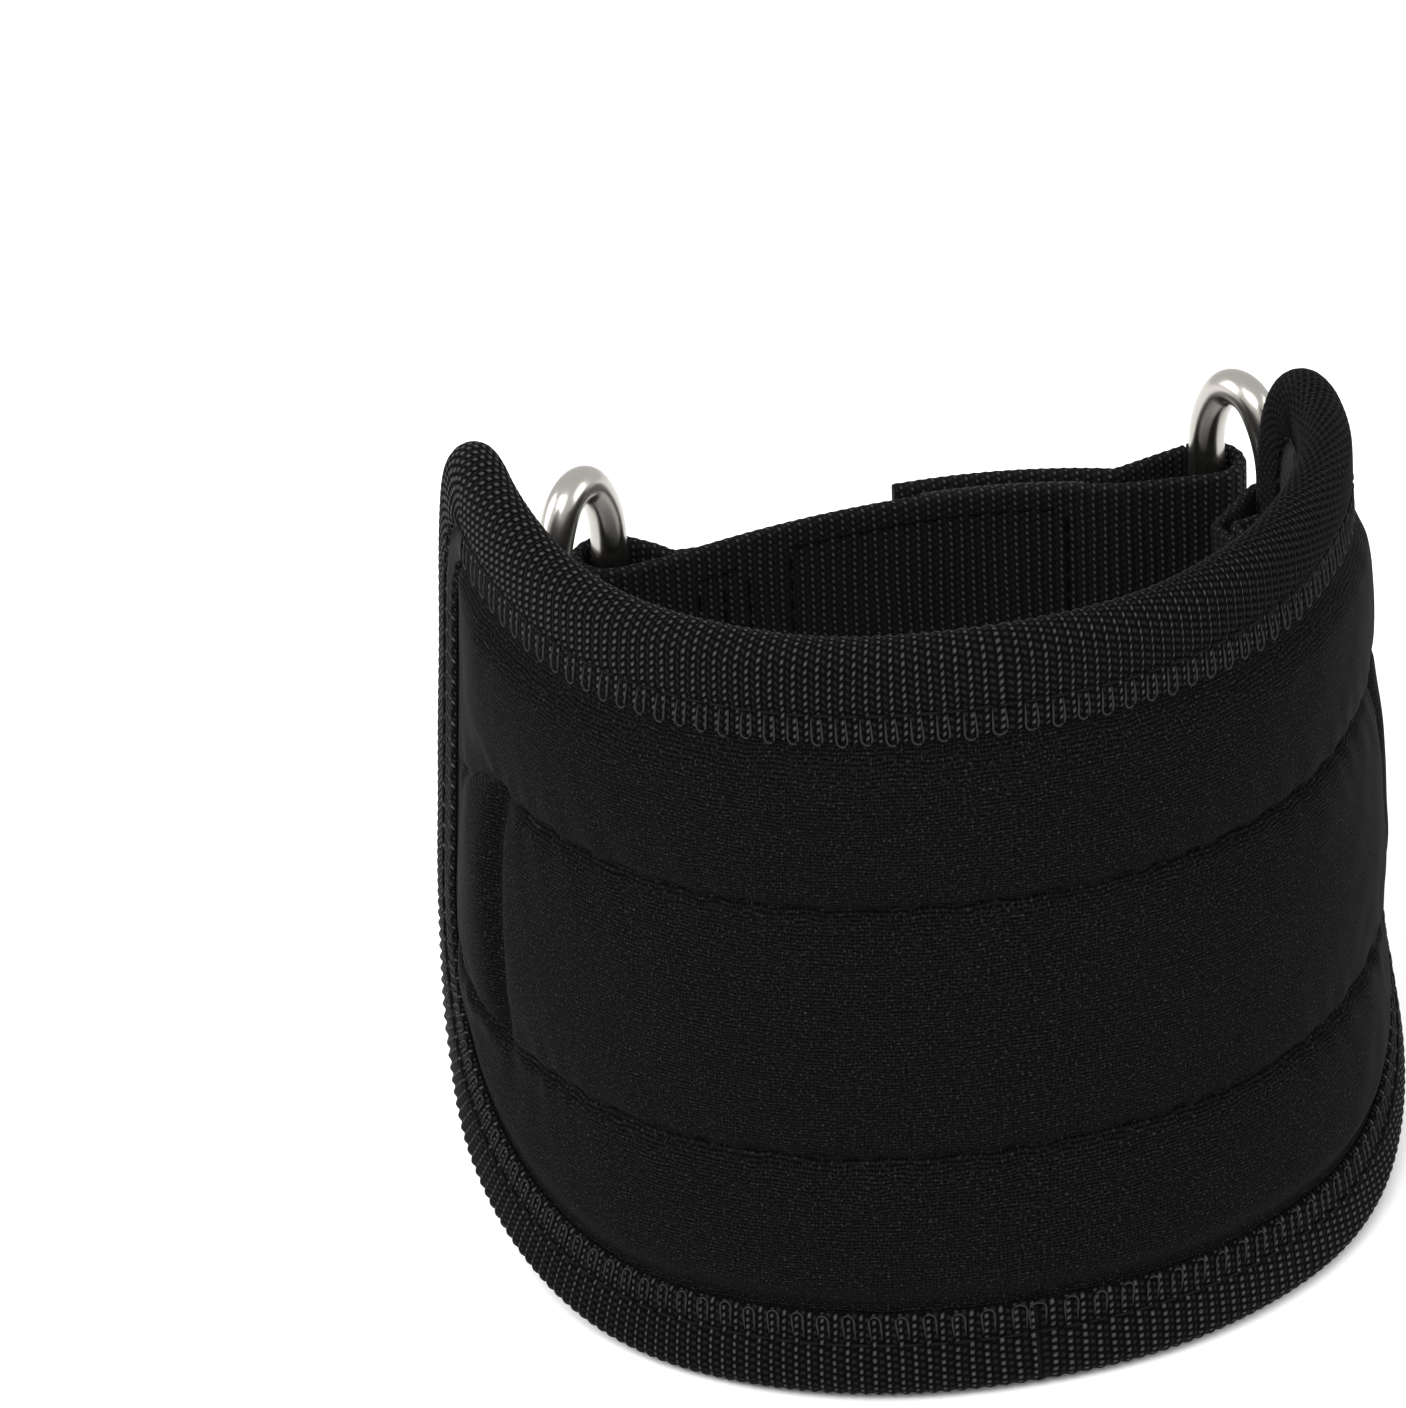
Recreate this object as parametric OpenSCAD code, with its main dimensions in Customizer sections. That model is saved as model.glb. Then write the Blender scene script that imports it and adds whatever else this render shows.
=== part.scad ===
/* [Cuff] */
// Height of the cuff from its bottom edge to its top edge
cuff_h = 96; // [88:1:104]
// Half width of the cuff at its top edge, at the middle of its wall
top_half_w = 48; // [44:0.5:52]
// Half depth of the cuff at its top edge, at the middle of its wall
top_half_d = 51.5; // [47:0.5:54]
// How far the bottom edge flares out past the top edge at the front
front_flare = 7.5; // [4:0.5:10]
// How far the bottom edge flares out past the top edge at the sides
side_flare = 6.6; // [3:0.2:8]
// Squareness of the plan: 2 is an ellipse, more is squarer
squareness = 2.2; // [2:0.1:2.6]
// Angle that the wall wraps on each side of the front
wrap = 103; // [98:1:106]
// How much lower the right end's top stands than the front's
right_drop = 3.5; // [0:0.5:5]
// How much further out the right end's top leans
right_out = 2; // [0:0.5:4]
// Length and height of each rounded top corner
top_corner = [15, 21]; // [12:1:28]
// Length and height of each rounded bottom corner
bottom_corner = [58, 40]; // [30:1:62]

/* [Padding] */
// How far the cover stands out of the wall at a sewn channel line
seam_out = 2.8; // [2.2:0.1:3.2]
// How far the cover stands out at the crest of a channel
crest_out = 5; // [4:0.1:7]
// How far the lining stands in at the crest of a channel
crest_in = 6.3; // [5:0.1:8]
// Thickness of the outer cover
cover_t = 1.5; // [1:0.1:2]
// Thickness of the inner lining
lining_t = 0.9; // [0.6:0.1:1.2]
// Thickness of the foam at a sewn line
foam_t = 1.3; // [1:0.1:1.4]
// How much thicker the foam is under a channel's crest
foam_gain = 0.2; // [0:0.1:2]
// Thickness of the sand pouch fabric
pouch_t = 0.4; // [0.3:0.05:0.6]

/* [Edge binding] */
// Width of the binding tape that shows on each face
binding_w = 11.5; // [9:0.5:13]
// Half thickness of the bound edge
binding_half = 3; // [2.8:0.1:3.4]
// Thickness of the binding tape
binding_t = 1; // [0.8:0.05:1]

/* [Strap] */
// Width of the strap and tab webbing
web_w = 38; // [36:1:40]
// Thickness of the strap webbing
strap_t = 1.7; // [1.4:0.1:1.8]
// Thickness of the tab webbing
tab_t = 1.4; // [1.2:0.1:1.5]
// Height of the strap's centre line above the bottom edge
strap_z = 46; // [44:0.5:48]
// Length of the tail that folds back outside the strap
tail_l = 38; // [30:1:42]
// Thickness of each hook or loop patch
patch_t = 0.8; // [0.7:0.05:1.2]

/* [Rings] */
// Diameter of the ring wire
wire_d = 4.4; // [4:0.1:4.6]
// Distance between the centre lines of a ring's two legs
leg_gap = 12; // [11:0.5:13]
// Length of the straight part of a leg
leg_l = 39; // [38:0.5:42]
// Height of a ring's middle above the bottom edge
ring_z = 47.5; // [46:0.5:49]
// Turn of the left ring in plan, from its tab leg to its strap leg
left_turn = 45; // [40:1:50]
// Turn of the right ring in plan, from its tab leg to its strap leg
right_turn = 117; // [112:1:122]

/* [Hidden] */

gap = 0.05;                       // air between two pieces that lie on each other
thread_r = 0.35;                  // radius of the sewing thread
round_fn = 64;                    // sides of a round wire
arc_r = 52;                       // radius that turns arc length into angle
half_l = arc_r * wrap * PI / 180; // half length of the wall along its arc
wire_r = wire_d / 2;
slot_half = binding_half - binding_t;
seam_zs = [cuff_h / 3, 2 * cuff_h / 3];
pad_edge = binding_w + 1;         // the padding starts this far inside the edge
end_flat = 33;                    // the lining stays flat this far in, under the tabs
strap_z0 = strap_z - web_w / 2;

// The whole cuff moves back by this much, so that the frame's origin is under its middle
flare_share = 0.8;     // share of the front flare at the height where the padding stands furthest out
front_reach = top_half_d + front_flare * flare_share + crest_out;
back_reach = 36.1;     // the tail and its patches reach this far behind
plan_y = (front_reach - back_reach) / 2;

// ---- The wall: a point s along the arc, z up, n out of the wall's middle surface

function spow(v, e) = sign(v) * pow(abs(v), e);
function flare_at(phi) = side_flare + (front_flare - side_flare) * pow(cos(phi), 2);
lean_from = 45;        // the right end starts to lean this far from the front
lean_run = 40;         // and leans in full this much further on
function lean(s, z) = s > 0 ? ease((s - lean_from) / lean_run) * pow(z / cuff_h, 2) : 0;
function wall(s, z, n) =
    let (phi = s / arc_r * 180 / PI, grow = flare_at(phi) * (1 - z / cuff_h) + n)
    [(top_half_w + grow) * spow(sin(phi), 2 / squareness) + right_out * lean(s, z),
     -(top_half_d + grow) * spow(cos(phi), 2 / squareness) + plan_y, z - right_drop * lean(s, z)];
// The z to give wall() for a point that is to end up at height z
function level(s, z) = z + right_drop * lean(s, z);

// Height that a corner takes off an edge, at s along the arc
function corner_cut(s, c) =
    let (u = max(0, (abs(s) - (half_l - c[0])) / c[0]))
    c[1] * (1 - sqrt(max(0, 1 - u * u)));
function low_z(s) = corner_cut(s, bottom_corner);
function high_z(s) = cuff_h - corner_cut(s, top_corner);

// Distance in from the outline, measured on the flat wall
function in_corner(x, z, c) =
    let (rho = max(0.01, norm([x / c[0], z / c[1]])))
    (1 - rho) * rho / norm([x / pow(c[0], 2), z / pow(c[1], 2)]);
function inside(s, z) =
    let (x_low = abs(s) - half_l + bottom_corner[0], z_low = bottom_corner[1] - z,
         x_high = abs(s) - half_l + top_corner[0], z_high = z - cuff_h + top_corner[1])
    min(z, cuff_h - z, half_l - abs(s),
        x_low > 0 && z_low > 0 ? in_corner(x_low, z_low, bottom_corner) : cuff_h,
        x_high > 0 && z_high > 0 ? in_corner(x_high, z_high, top_corner) : cuff_h);

// The outline of the wall, flat, anticlockwise from the middle of the bottom edge
corner_n = 10;
edge_n = 12;
function corner_pts(c, up) = [for (i = [0:corner_n]) let (t = 90 * i / corner_n)
    [half_l - c[0] + c[0] * sin(t), up ? cuff_h - c[1] + c[1] * cos(t) : c[1] - c[1] * cos(t)]];
bottom_run = half_l - bottom_corner[0];
top_run = half_l - top_corner[0];
end_run = cuff_h - top_corner[1] - bottom_corner[1];   // straight part of each end
right_low = corner_pts(bottom_corner, false);
right_high = corner_pts(top_corner, true);
function flip(p) = [for (i = [len(p) - 1:-1:0]) [-p[i][0], p[i][1]]];
outline = concat(
    [for (i = [-edge_n / 2 + 1:edge_n / 2 - 1]) [bottom_run * 2 * i / edge_n, 0]],
    right_low,
    [for (i = [1:3]) [half_l, bottom_corner[1] + end_run * i / 4]],
    [for (i = [corner_n:-1:0]) right_high[i]],
    [for (i = [edge_n / 2:-1:-edge_n / 2]) [top_run * 2 * i / (edge_n + 2), cuff_h]],
    [for (i = [0:corner_n]) [-right_high[i][0], right_high[i][1]]],
    [for (i = [3:-1:1]) [-half_l, bottom_corner[1] + end_run * i / 4]],
    flip(right_low));
outline_n = len(outline);
function outline_way(i) =
    let (a = outline[(i + outline_n - 1) % outline_n], b = outline[(i + 1) % outline_n], d = b - a)
    d / norm(d);
// A point b inside the outline and n out of the wall, at outline point i
function rim(i, b, n) =
    let (way = outline_way(i), inward = [-way[1], way[0]], p = outline[i] + b * inward)
    wall(p[0], p[1], n);

// ---- The padding: 0 at a sewn line or edge, 1 at a channel's crest

crown = 0.65;         // roundness of a channel: less is fuller
end_fade = 12;        // length over which a channel dies out at the wall's ends
edge_fade = 4;        // width over which the cover rises off the bound edge
tuck = 1.2;           // the cover stays flat for this far past the tape
full_channel = 18;    // a channel narrower than this stands out less
least_channel = 4;    // and one narrower than this not at all
function ease(t) = let (c = min(1, max(0, t))) c * c * (3 - 2 * c);
function hump(t) = (t <= 0 || t >= 1) ? 0 : pow(4 * t * (1 - t), crown);
function channel_lo(s, k) = k == 0 ? low_z(s) + pad_edge : seam_zs[k - 1];
function channel_hi(s, k) = k == 2 ? high_z(s) - pad_edge : seam_zs[k];
function puff(s, z, flat) =
    let (edge = inside(s, z) - pad_edge,
         ends = ease((half_l - flat - abs(s)) / end_fade) * ease(edge / edge_fade),
         h = [for (k = [0:2]) let (a = k == 0 ? edge : z - seam_zs[k - 1],
                                   b = k == 2 ? edge : seam_zs[k] - z, wide = a + b)
              a <= 0 || b <= 0 || wide < least_channel ? 0
              : hump(a / wide) * min(1, wide / full_channel)])
    ends * max(h);
// Rises from the flat bound edge to the level of the sewn lines
function lift(s, z) = ease((inside(s, z) - binding_w - tuck) / edge_fade);

function cover_out(s, z) = slot_half - gap + (seam_out - slot_half) * lift(s, z)
                           + (crest_out - seam_out) * puff(s, z, pad_edge);
function cover_in(s, z) = cover_out(s, z) - cover_t;
function lining_in(s, z) = -slot_half + gap - (crest_in - slot_half) * puff(s, z, end_flat);
function lining_out(s, z) = lining_in(s, z) + lining_t;
function foam_in(s, z) = lining_out(s, z) + gap;
function foam_out(s, z) = min(cover_in(s, z) - gap, foam_in(s, z) + foam_t
                                                    + foam_gain * puff(s, z, end_flat));

// ---- Solids that follow the wall

// A closed sheet over a grid of [s, z] points with its two faces' heights in the same grid
module sheet(grid, lower, upper) {
    nu = len(grid);
    nv = len(grid[0]);
    pts = [for (side = [0, 1]) for (i = [0:nu - 1]) for (j = [0:nv - 1])
           wall(grid[i][j][0], grid[i][j][1], side == 0 ? lower[i][j] : upper[i][j])];
    function id(side, i, j) = side * nu * nv + i * nv + j;
    faces = concat(
        [for (i = [0:nu - 2]) for (j = [0:nv - 2]) for (t = [0, 1])
            t == 0 ? [id(1, i, j), id(1, i, j + 1), id(1, i + 1, j + 1)]
                   : [id(1, i, j), id(1, i + 1, j + 1), id(1, i + 1, j)]],
        [for (i = [0:nu - 2]) for (j = [0:nv - 2]) for (t = [0, 1])
            t == 0 ? [id(0, i, j), id(0, i + 1, j + 1), id(0, i, j + 1)]
                   : [id(0, i, j), id(0, i + 1, j), id(0, i + 1, j + 1)]],
        [for (i = [0:nu - 2]) each [[id(0, i, 0), id(1, i, 0), id(1, i + 1, 0)],
                                    [id(0, i, 0), id(1, i + 1, 0), id(0, i + 1, 0)]]],
        [for (i = [0:nu - 2]) let (j = nv - 1) each [[id(0, i, j), id(1, i + 1, j), id(1, i, j)],
                                                     [id(0, i, j), id(0, i + 1, j), id(1, i + 1, j)]]],
        [for (j = [0:nv - 2]) each [[id(0, 0, j), id(1, 0, j + 1), id(1, 0, j)],
                                    [id(0, 0, j), id(0, 0, j + 1), id(1, 0, j + 1)]]],
        [for (j = [0:nv - 2]) let (i = nu - 1) each [[id(0, i, j), id(1, i, j), id(1, i, j + 1)],
                                                     [id(0, i, j), id(1, i, j + 1), id(0, i, j + 1)]]]);
    polyhedron(pts, faces, convexity = 8);
}
function each_of(grid, f) = [for (row = grid) [for (p = row) f(p[0], p[1])]];

// Points from one end of a list of stops to the other, so many between each two
function steps(stops, counts) = [for (k = [0:len(counts) - 1]) for (j = [0:counts[k] - 1])
                                 stops[k] + (stops[k + 1] - stops[k]) * j / counts[k], stops[len(counts)]];
edge_zone = binding_w + tuck;
end_cols = 5;         // columns beside each bound end
tape_cols = 3;        // and under its tape
tape_rows = 2;        // rows beside each bound edge
band_share = 0.1;     // share of the wall's height there that may go to those rows
// Columns of the whole wall, with some of their own at the bound ends
function columns(n, inset) =
    let (right = steps([0, half_l - 2 * edge_zone, half_l - edge_zone, half_l - inset],
                      [n, end_cols, tape_cols]),
         m = len(right) - 1)
    concat([for (i = [m:-1:1]) -right[i]], right);
// Rows of the wall: at the bound edges, at each sewn line and between
least_share = 0.12;   // of the wall's height there, kept for each outer channel's rows
function wall_grid(n, per, inset) = [for (s = columns(n, inset))
    let (lo = low_z(s) + inset, hi = high_z(s) - inset, least = (hi - lo) * least_share,
         low_seam = max(seam_zs[0], lo + least), high_seam = min(seam_zs[1], hi - least),
         band = min(edge_zone - inset, least / 2 + (hi - lo) * band_share))
    [for (z = steps([lo, lo + min(band, low_seam - lo - 1), low_seam, high_seam,
                     hi - min(band, hi - high_seam - 1), hi],
                    [tape_rows, per, per, per, tape_rows])) [s, z]]];

sheet_inset = 1.6;   // the sheets stop this far inside the bound edge

// A closed tube along a ring of frames, each a list of the section's points
module ring_sweep(frames) {
    n = len(frames);
    m = len(frames[0]);
    pts = [for (f = frames) each f];
    function id(i, j) = (i % n) * m + (j % m);
    faces = [for (i = [0:n - 1]) for (j = [0:m - 1]) each
             [[id(i, j), id(i + 1, j), id(i + 1, j + 1)], [id(i, j), id(i + 1, j + 1), id(i, j + 1)]]];
    polyhedron(pts, faces, convexity = 10);
}
// The same along an open run, with its two ends closed
module run_sweep(frames) {
    n = len(frames);
    m = len(frames[0]);
    pts = [for (f = frames) each f];
    function id(i, j) = i * m + (j % m);
    faces = concat([[for (j = [0:m - 1]) id(0, j)]], [[for (j = [m - 1:-1:0]) id(n - 1, j)]],
        [for (i = [0:n - 2]) for (j = [0:m - 1]) each
            [[id(i, j), id(i + 1, j), id(i + 1, j + 1)], [id(i, j), id(i + 1, j + 1), id(i, j + 1)]]]);
    polyhedron(pts, faces, convexity = 10);
}

// ---- Panel

module outer_cover() {
    grid = wall_grid(14, 7, sheet_inset);
    color("#1b1b1e") sheet(grid, each_of(grid, function(s, z) cover_in(s, z)),
                           each_of(grid, function(s, z) cover_out(s, z)));
}
module inner_lining() {
    grid = wall_grid(10, 6, sheet_inset);
    color("#222226") sheet(grid, each_of(grid, function(s, z) lining_in(s, z)),
                           each_of(grid, function(s, z) lining_out(s, z)));
}
module foam_pad() {
    grid = wall_grid(10, 6, sheet_inset);
    color("#3a3a3c") sheet(grid, each_of(grid, function(s, z) foam_in(s, z)),
                           each_of(grid, function(s, z) foam_out(s, z)));
}

// The space between the cover and the foam in channel k, as a grid and its two faces
pocket_inset = 3;     // a pouch stops this far short of the sewn lines
pocket_end = 40;      // and this far short of the wall's ends
pocket_cols = 10;     // columns of a pouch on each side of its middle
function pocket_grid(k) = [for (i = [-pocket_cols:pocket_cols])
    let (s = i / pocket_cols * (half_l - pocket_end),
    lo = channel_lo(s, k) + pocket_inset, hi = channel_hi(s, k) - pocket_inset)
    [for (j = [0:4]) [s, lo + (hi - lo) * j / 4]]];
pouch_gap = 0.45;     // keeps the coarse pouches clear of the curved sheets
sand_gap = 0.25;      // and the sand clear of its pouch
function pocket_in(s, z) = foam_out(s, z) + pouch_gap;
function pocket_out(s, z) = cover_in(s, z) - pouch_gap;
function sand_in(s, z) = pocket_in(s, z) + pouch_t + sand_gap;
function sand_out(s, z) = pocket_out(s, z) - pouch_t - sand_gap;

module sand_pouch(k) {
    grid = pocket_grid(k);
    color("#2c2c30") {
        sheet(grid, each_of(grid, function(s, z) pocket_in(s, z)),
              each_of(grid, function(s, z) pocket_in(s, z) + pouch_t));
        sheet(grid, each_of(grid, function(s, z) pocket_out(s, z) - pouch_t),
              each_of(grid, function(s, z) pocket_out(s, z)));
    }
}
module iron_sand(k) {
    grid = pocket_grid(k);
    color("#55504b") sheet(grid, each_of(grid, function(s, z) sand_in(s, z)),
                           each_of(grid, function(s, z) sand_out(s, z)));
}
module sand_pouch_upper() sand_pouch(2);
module sand_pouch_middle() sand_pouch(1);
module sand_pouch_lower() sand_pouch(0);
module iron_sand_upper() iron_sand(2);
module iron_sand_middle() iron_sand(1);
module iron_sand_lower() iron_sand(0);

// Section of the folded tape: [inside the edge, out of the wall], round the outside and back
fold = binding_half;
tape_section = [[binding_w, fold], [fold * 0.8, fold], [fold * 0.3, fold * 0.8], [0, fold * 0.4],
                [0, -fold * 0.4], [fold * 0.3, -fold * 0.8], [fold * 0.8, -fold], [binding_w, -fold],
                [binding_w, -slot_half], [fold * 0.7, -slot_half], [binding_t, -slot_half * 0.4],
                [binding_t, slot_half * 0.4], [fold * 0.7, slot_half], [binding_w, slot_half]];
module edge_binding() {
    color("#161618")
        ring_sweep([for (i = [0:outline_n - 1]) [for (q = tape_section) rim(i, q[0], q[1])]]);
}
stitch_in = 8;        // distance of the binding's stitch line from the edge
function thread_ring(b, n, r) = [for (t = [0:90:359]) [b + r * cos(t), n + r * sin(t)]];
module binding_stitching() {
    color("#0e0e10") for (n = [binding_half, -binding_half])
        ring_sweep([for (i = [0:outline_n - 1])
                    [for (q = thread_ring(stitch_in, n, thread_r)) rim(i, q[0], q[1])]]);
}
module channel_stitching(z) {
    run = half_l - pad_edge - stitch_l;
    n_steps = 40;
    color("#0e0e10") for (side = [0, 1])
        run_sweep([for (i = [-n_steps:n_steps]) let (s = run * i / n_steps,
                   n = side == 0 ? cover_out(s, z) : lining_in(s, z))
                   [for (t = [0:90:359]) wall(s, z + thread_r * sin(t), n + thread_r * cos(t))]]);
}
module channel_stitching_upper() channel_stitching(seam_zs[1]);
module channel_stitching_lower() channel_stitching(seam_zs[0]);

// ---- Rings

left_strap_leg = [-28.4, 28.7 + plan_y];
right_strap_leg = [46, 30 + plan_y];
function turn_way(a) = [cos(a), sin(a)];
left_tab_leg = left_strap_leg - leg_gap * turn_way(left_turn);
right_tab_leg = right_strap_leg - leg_gap * turn_way(right_turn);

// A wire oval: each end is a tight arc between two wide ones, which meet on their centres' line
tip_r = 4;
side_r = 14;
side_x = side_r - leg_gap / 2;
tip_y = sqrt(pow(side_r - tip_r, 2) - pow(side_x, 2));
reach = 3;             // carries the cutting wedges clear of the wire
wedge_tip = [side_x * reach, tip_y + tip_y * reach];
module arc_piece(r, at, wedge) {
    intersection() {
        translate(at) rotate_extrude($fn = round_fn) translate([r, 0]) circle(r = wire_r, $fn = round_fn);
        translate([0, 0, -wire_d]) linear_extrude(2 * wire_d) polygon(wedge);
    }
}
module ring_end() {
    translate([0, leg_l / 2, 0]) {
        arc_piece(tip_r, [0, tip_y, 0], [[0, tip_y], wedge_tip, [-wedge_tip[0], wedge_tip[1]]]);
        for (m = [0, 1]) mirror([m, 0, 0])
            arc_piece(side_r, [-side_x, 0, 0], [[-side_x, 0], [wedge_tip[0], 0], wedge_tip]);
    }
}
// The ring stands up, with its tab leg at the first place and its width along the turn
module oval_ring(leg, turn) {
    color("#d8d4cc") translate([leg[0], leg[1], ring_z]) rotate([0, 0, turn])
        translate([leg_gap / 2, 0, 0]) rotate([90, 0, 0]) {
            for (x = [-leg_gap / 2, leg_gap / 2])
                translate([x, 0, 0]) rotate([90, 0, 0])
                    cylinder(r = wire_r, h = leg_l, center = true, $fn = round_fn);
            ring_end();
            rotate([0, 0, 180]) ring_end();
        }
}
module ring_left() oval_ring(left_tab_leg, left_turn);
module ring_right() oval_ring(right_tab_leg, right_turn);

// ---- Webbing, drawn as a path in plan

// A path round a leg: from the meeting point, round the leg and back, layers g apart
function loop_path(c, r, meet_at, g, n) =
    let (d = c - meet_at, l = norm(d), way = atan2(d[1], d[0]), more = asin((r - g / 2) / l),
         side = [-sin(way), cos(way)])
    concat([meet_at - side * g / 2],
           [for (i = [0:n]) let (t = way - 90 - more + (180 + 2 * more) * i / n)
            c + r * turn_way(t)],
           [meet_at + side * g / 2]);
function turned(p) = [for (i = [len(p) - 1:-1:0]) p[i]];
function way_at(p, i) = let (a = p[max(0, i - 1)], b = p[min(len(p) - 1, i + 1)], d = b - a) d / norm(d);
function shifted(p, k) = [for (i = [0:len(p) - 1]) let (w = way_at(p, i)) p[i] + k * [-w[1], w[0]]];
function strip(p, t) = let (l = shifted(p, t / 2), r = shifted(p, -t / 2))
    concat(l, [for (i = [len(r) - 1:-1:0]) r[i]]);
module web(p, t, z0, z1) {
    translate([0, 0, z0]) linear_extrude(z1 - z0) polygon(strip(p, t));
}

strap_peak = [12, 31 + plan_y];
left_bend = 0.0048;   // how hard the strap bows back on each side, per millimetre
right_bend = 0.0085;
strap_loop_r = 3.2 + strap_t / 2;
function bend_at(x) = x < strap_peak[0] ? left_bend : right_bend;
function run_y(x) = strap_peak[1] - bend_at(x) * pow(x - strap_peak[0], 2);
anchor_x = -21;       // where the anchor's two layers part round the left ring
fold_x = 34;          // where the strap and the tail part round the right ring
patch_gap = 0.4;      // air between the hooks and the loops
tail_gap = strap_t + 2 * patch_t + patch_gap;
function run_way(x) = let (k = -2 * bend_at(x) * (x - strap_peak[0])) [1, k] / norm([1, k]);
function run_side(x) = let (w = run_way(x)) [-w[1], w[0]];
function run_at(x, k) = [x, run_y(x)] + k * run_side(x);
web_step = 4;
function run_pts(from, to, k) = let (n = ceil(abs(to - from) / web_step))
    [for (i = [0:n]) run_at(from + (to - from) * i / n, k)];

layer = strap_t + gap;
anchor_end = -10;     // end of the strap's folded-back anchor
anchor_loop = loop_path(left_strap_leg, strap_loop_r, run_at(anchor_x, layer / 2), layer, 14);
fold_loop = loop_path(right_strap_leg, strap_loop_r, run_at(fold_x, tail_gap / 2), tail_gap, 14);
fold_keep = len(fold_loop) - 1;   // the tail starts where the loop leaves the leg
// The strap: its folded end, the loop round the left ring, the run and the right fold
strap_path = concat(run_pts(anchor_end, anchor_x + 2, layer), anchor_loop,
                    run_pts(anchor_x + 2, fold_x - 2, 0),
                    [for (i = [0:fold_keep - 1]) fold_loop[i]]);
tail_start = fold_loop[fold_keep - 1];
tail_end_x = right_strap_leg[0] - tail_l;
hinge_slit = 0.06;    // share of the first stretch left open at the tail's hinge
tail_path = concat([tail_start + (fold_loop[fold_keep] - tail_start) * hinge_slit],
                   [fold_loop[fold_keep]], run_pts(fold_x - 2, tail_end_x, tail_gap));

module strap() {
    color("#1a1a1d") web(strap_path, strap_t, strap_z0, strap_z0 + web_w);
}
// The tail is cut square and lies over the strap
module strap_tail() {
    color("#1a1a1d") web(tail_path, strap_t, strap_z0, strap_z0 + web_w);
}
patch_ends = [tail_end_x + 3, fold_x - 4];
patch_w = web_w - 2;
patch_z0 = strap_z - patch_w / 2;
loop_x0 = anchor_end + 1.5;
module loop_patch() {
    color("#26262a") web(run_pts(loop_x0, patch_ends[1], strap_t / 2 + gap + patch_t / 2),
                         patch_t, patch_z0, patch_z0 + patch_w);
}
module hook_patch() {
    color("#0c0c0e") web(run_pts(patch_ends[0], patch_ends[1], tail_gap - strap_t / 2 - gap - patch_t / 2),
                         patch_t, patch_z0, patch_z0 + patch_w);
}
// Threads on the webbing's face at k: a row along it and a column across it
module thread_row(x0, x1, z, k) {
    n = ceil((x1 - x0) / web_step);
    run_sweep([for (i = [0:n]) let (x = x0 + (x1 - x0) * i / n, out = run_side(x))
               [for (t = [0:90:359]) let (p = run_at(x, k + thread_r * cos(t)))
                [p[0], p[1], z + thread_r * sin(t)]]]);
}
module thread_column(x, z0, z1, k) {
    p = run_at(x, k);
    translate([p[0], p[1], z0]) cylinder(r = thread_r, h = z1 - z0, $fn = 16);
}
module thread_box(x0, x1, z0, z1, k) {
    for (z = [z0, z1]) thread_row(x0, x1, z, k);
    for (x = [x0, x1]) thread_column(x, z0 + stitch_l, z1 - stitch_l, k);
}
stitch_l = 1;         // the columns stop one stitch short of the rows
stitch_margin = 2;    // and a sewn box runs this far inside its patch
module bar(a, b) {
    d = b - a;
    translate(a) rotate([0, acos(d[2] / norm(d)), atan2(d[1], d[0])])
        cylinder(r = thread_r, h = norm(d), $fn = 16);
}
module strap_anchor_stitching() {
    x0 = anchor_x + 2.5;
    x1 = anchor_end - 2;
    z0 = strap_z0 + 4;
    z1 = strap_z0 + web_w - 4;
    color("#0e0e10") for (k = [-strap_t / 2, layer + strap_t / 2]) {
        thread_box(x0, x1, z0, z1, k);
        thread_column((x0 + x1) / 2, z0 + stitch_l, z1 - stitch_l, k);
    }
}
module loop_patch_stitching() {
    color("#0e0e10") thread_box(loop_x0 + stitch_margin, patch_ends[1] - stitch_margin,
                                patch_z0 + stitch_margin, patch_z0 + patch_w - stitch_margin, -strap_t / 2);
}
module hook_patch_stitching() {
    color("#0e0e10") thread_box(patch_ends[0] + stitch_margin, patch_ends[1] - stitch_margin,
                                patch_z0 + stitch_margin, patch_z0 + patch_w - stitch_margin,
                                tail_gap + strap_t / 2);
}

// ---- Tabs: webbing folded round a ring's tab leg and sewn on the inner face

tab_loop_r = wire_r + 0.4 + tab_t / 2;
tab_in = 30;          // how far in from the end the tab reaches
tab_free = 8;         // the tab leaves the wall this far from the end
tab_lift = 0.15;      // air between the tab and the bound edge under it
tab_layer = tab_t + 0.12;
// Where each tab's outer and inner layers turn off the wall, to go round the ring
left_turns = [[-43.6, 15 + plan_y], [-41.8, 13.8 + plan_y]];
right_turns = [[44.9, 14.1 + plan_y], [42.7, 14.5 + plan_y]];
function tab_lay(side, z, layer_n) = [for (i = [0:6])
    let (s = side * (half_l - tab_in + (tab_in - tab_free) * i / 6),
         p = wall(s, level(s, z), -binding_half - tab_lift - tab_t / 2 - layer_n * tab_layer)) [p[0], p[1]]];
// The arc round a leg between the tangents from two points, to the left where way is 1
function round_leg(c, r, from, to, way, n) =
    let (a = from - c, b = to - c,
         t0 = atan2(a[1], a[0]) + way * acos(r / norm(a)),
         t1 = atan2(b[1], b[0]) - way * acos(r / norm(b)), sweep = (way * (t1 - t0) + 720) % 360)
    [for (i = [0:n]) c + r * turn_way(t0 + way * sweep * i / n)];
function tab_path(side, leg, turns, z) =
    concat(tab_lay(side, z, 0), [turns[0]], round_leg(leg, tab_loop_r, turns[0], turns[1], side, 14),
           [turns[1]], turned(tab_lay(side, z, 1)));
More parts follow.
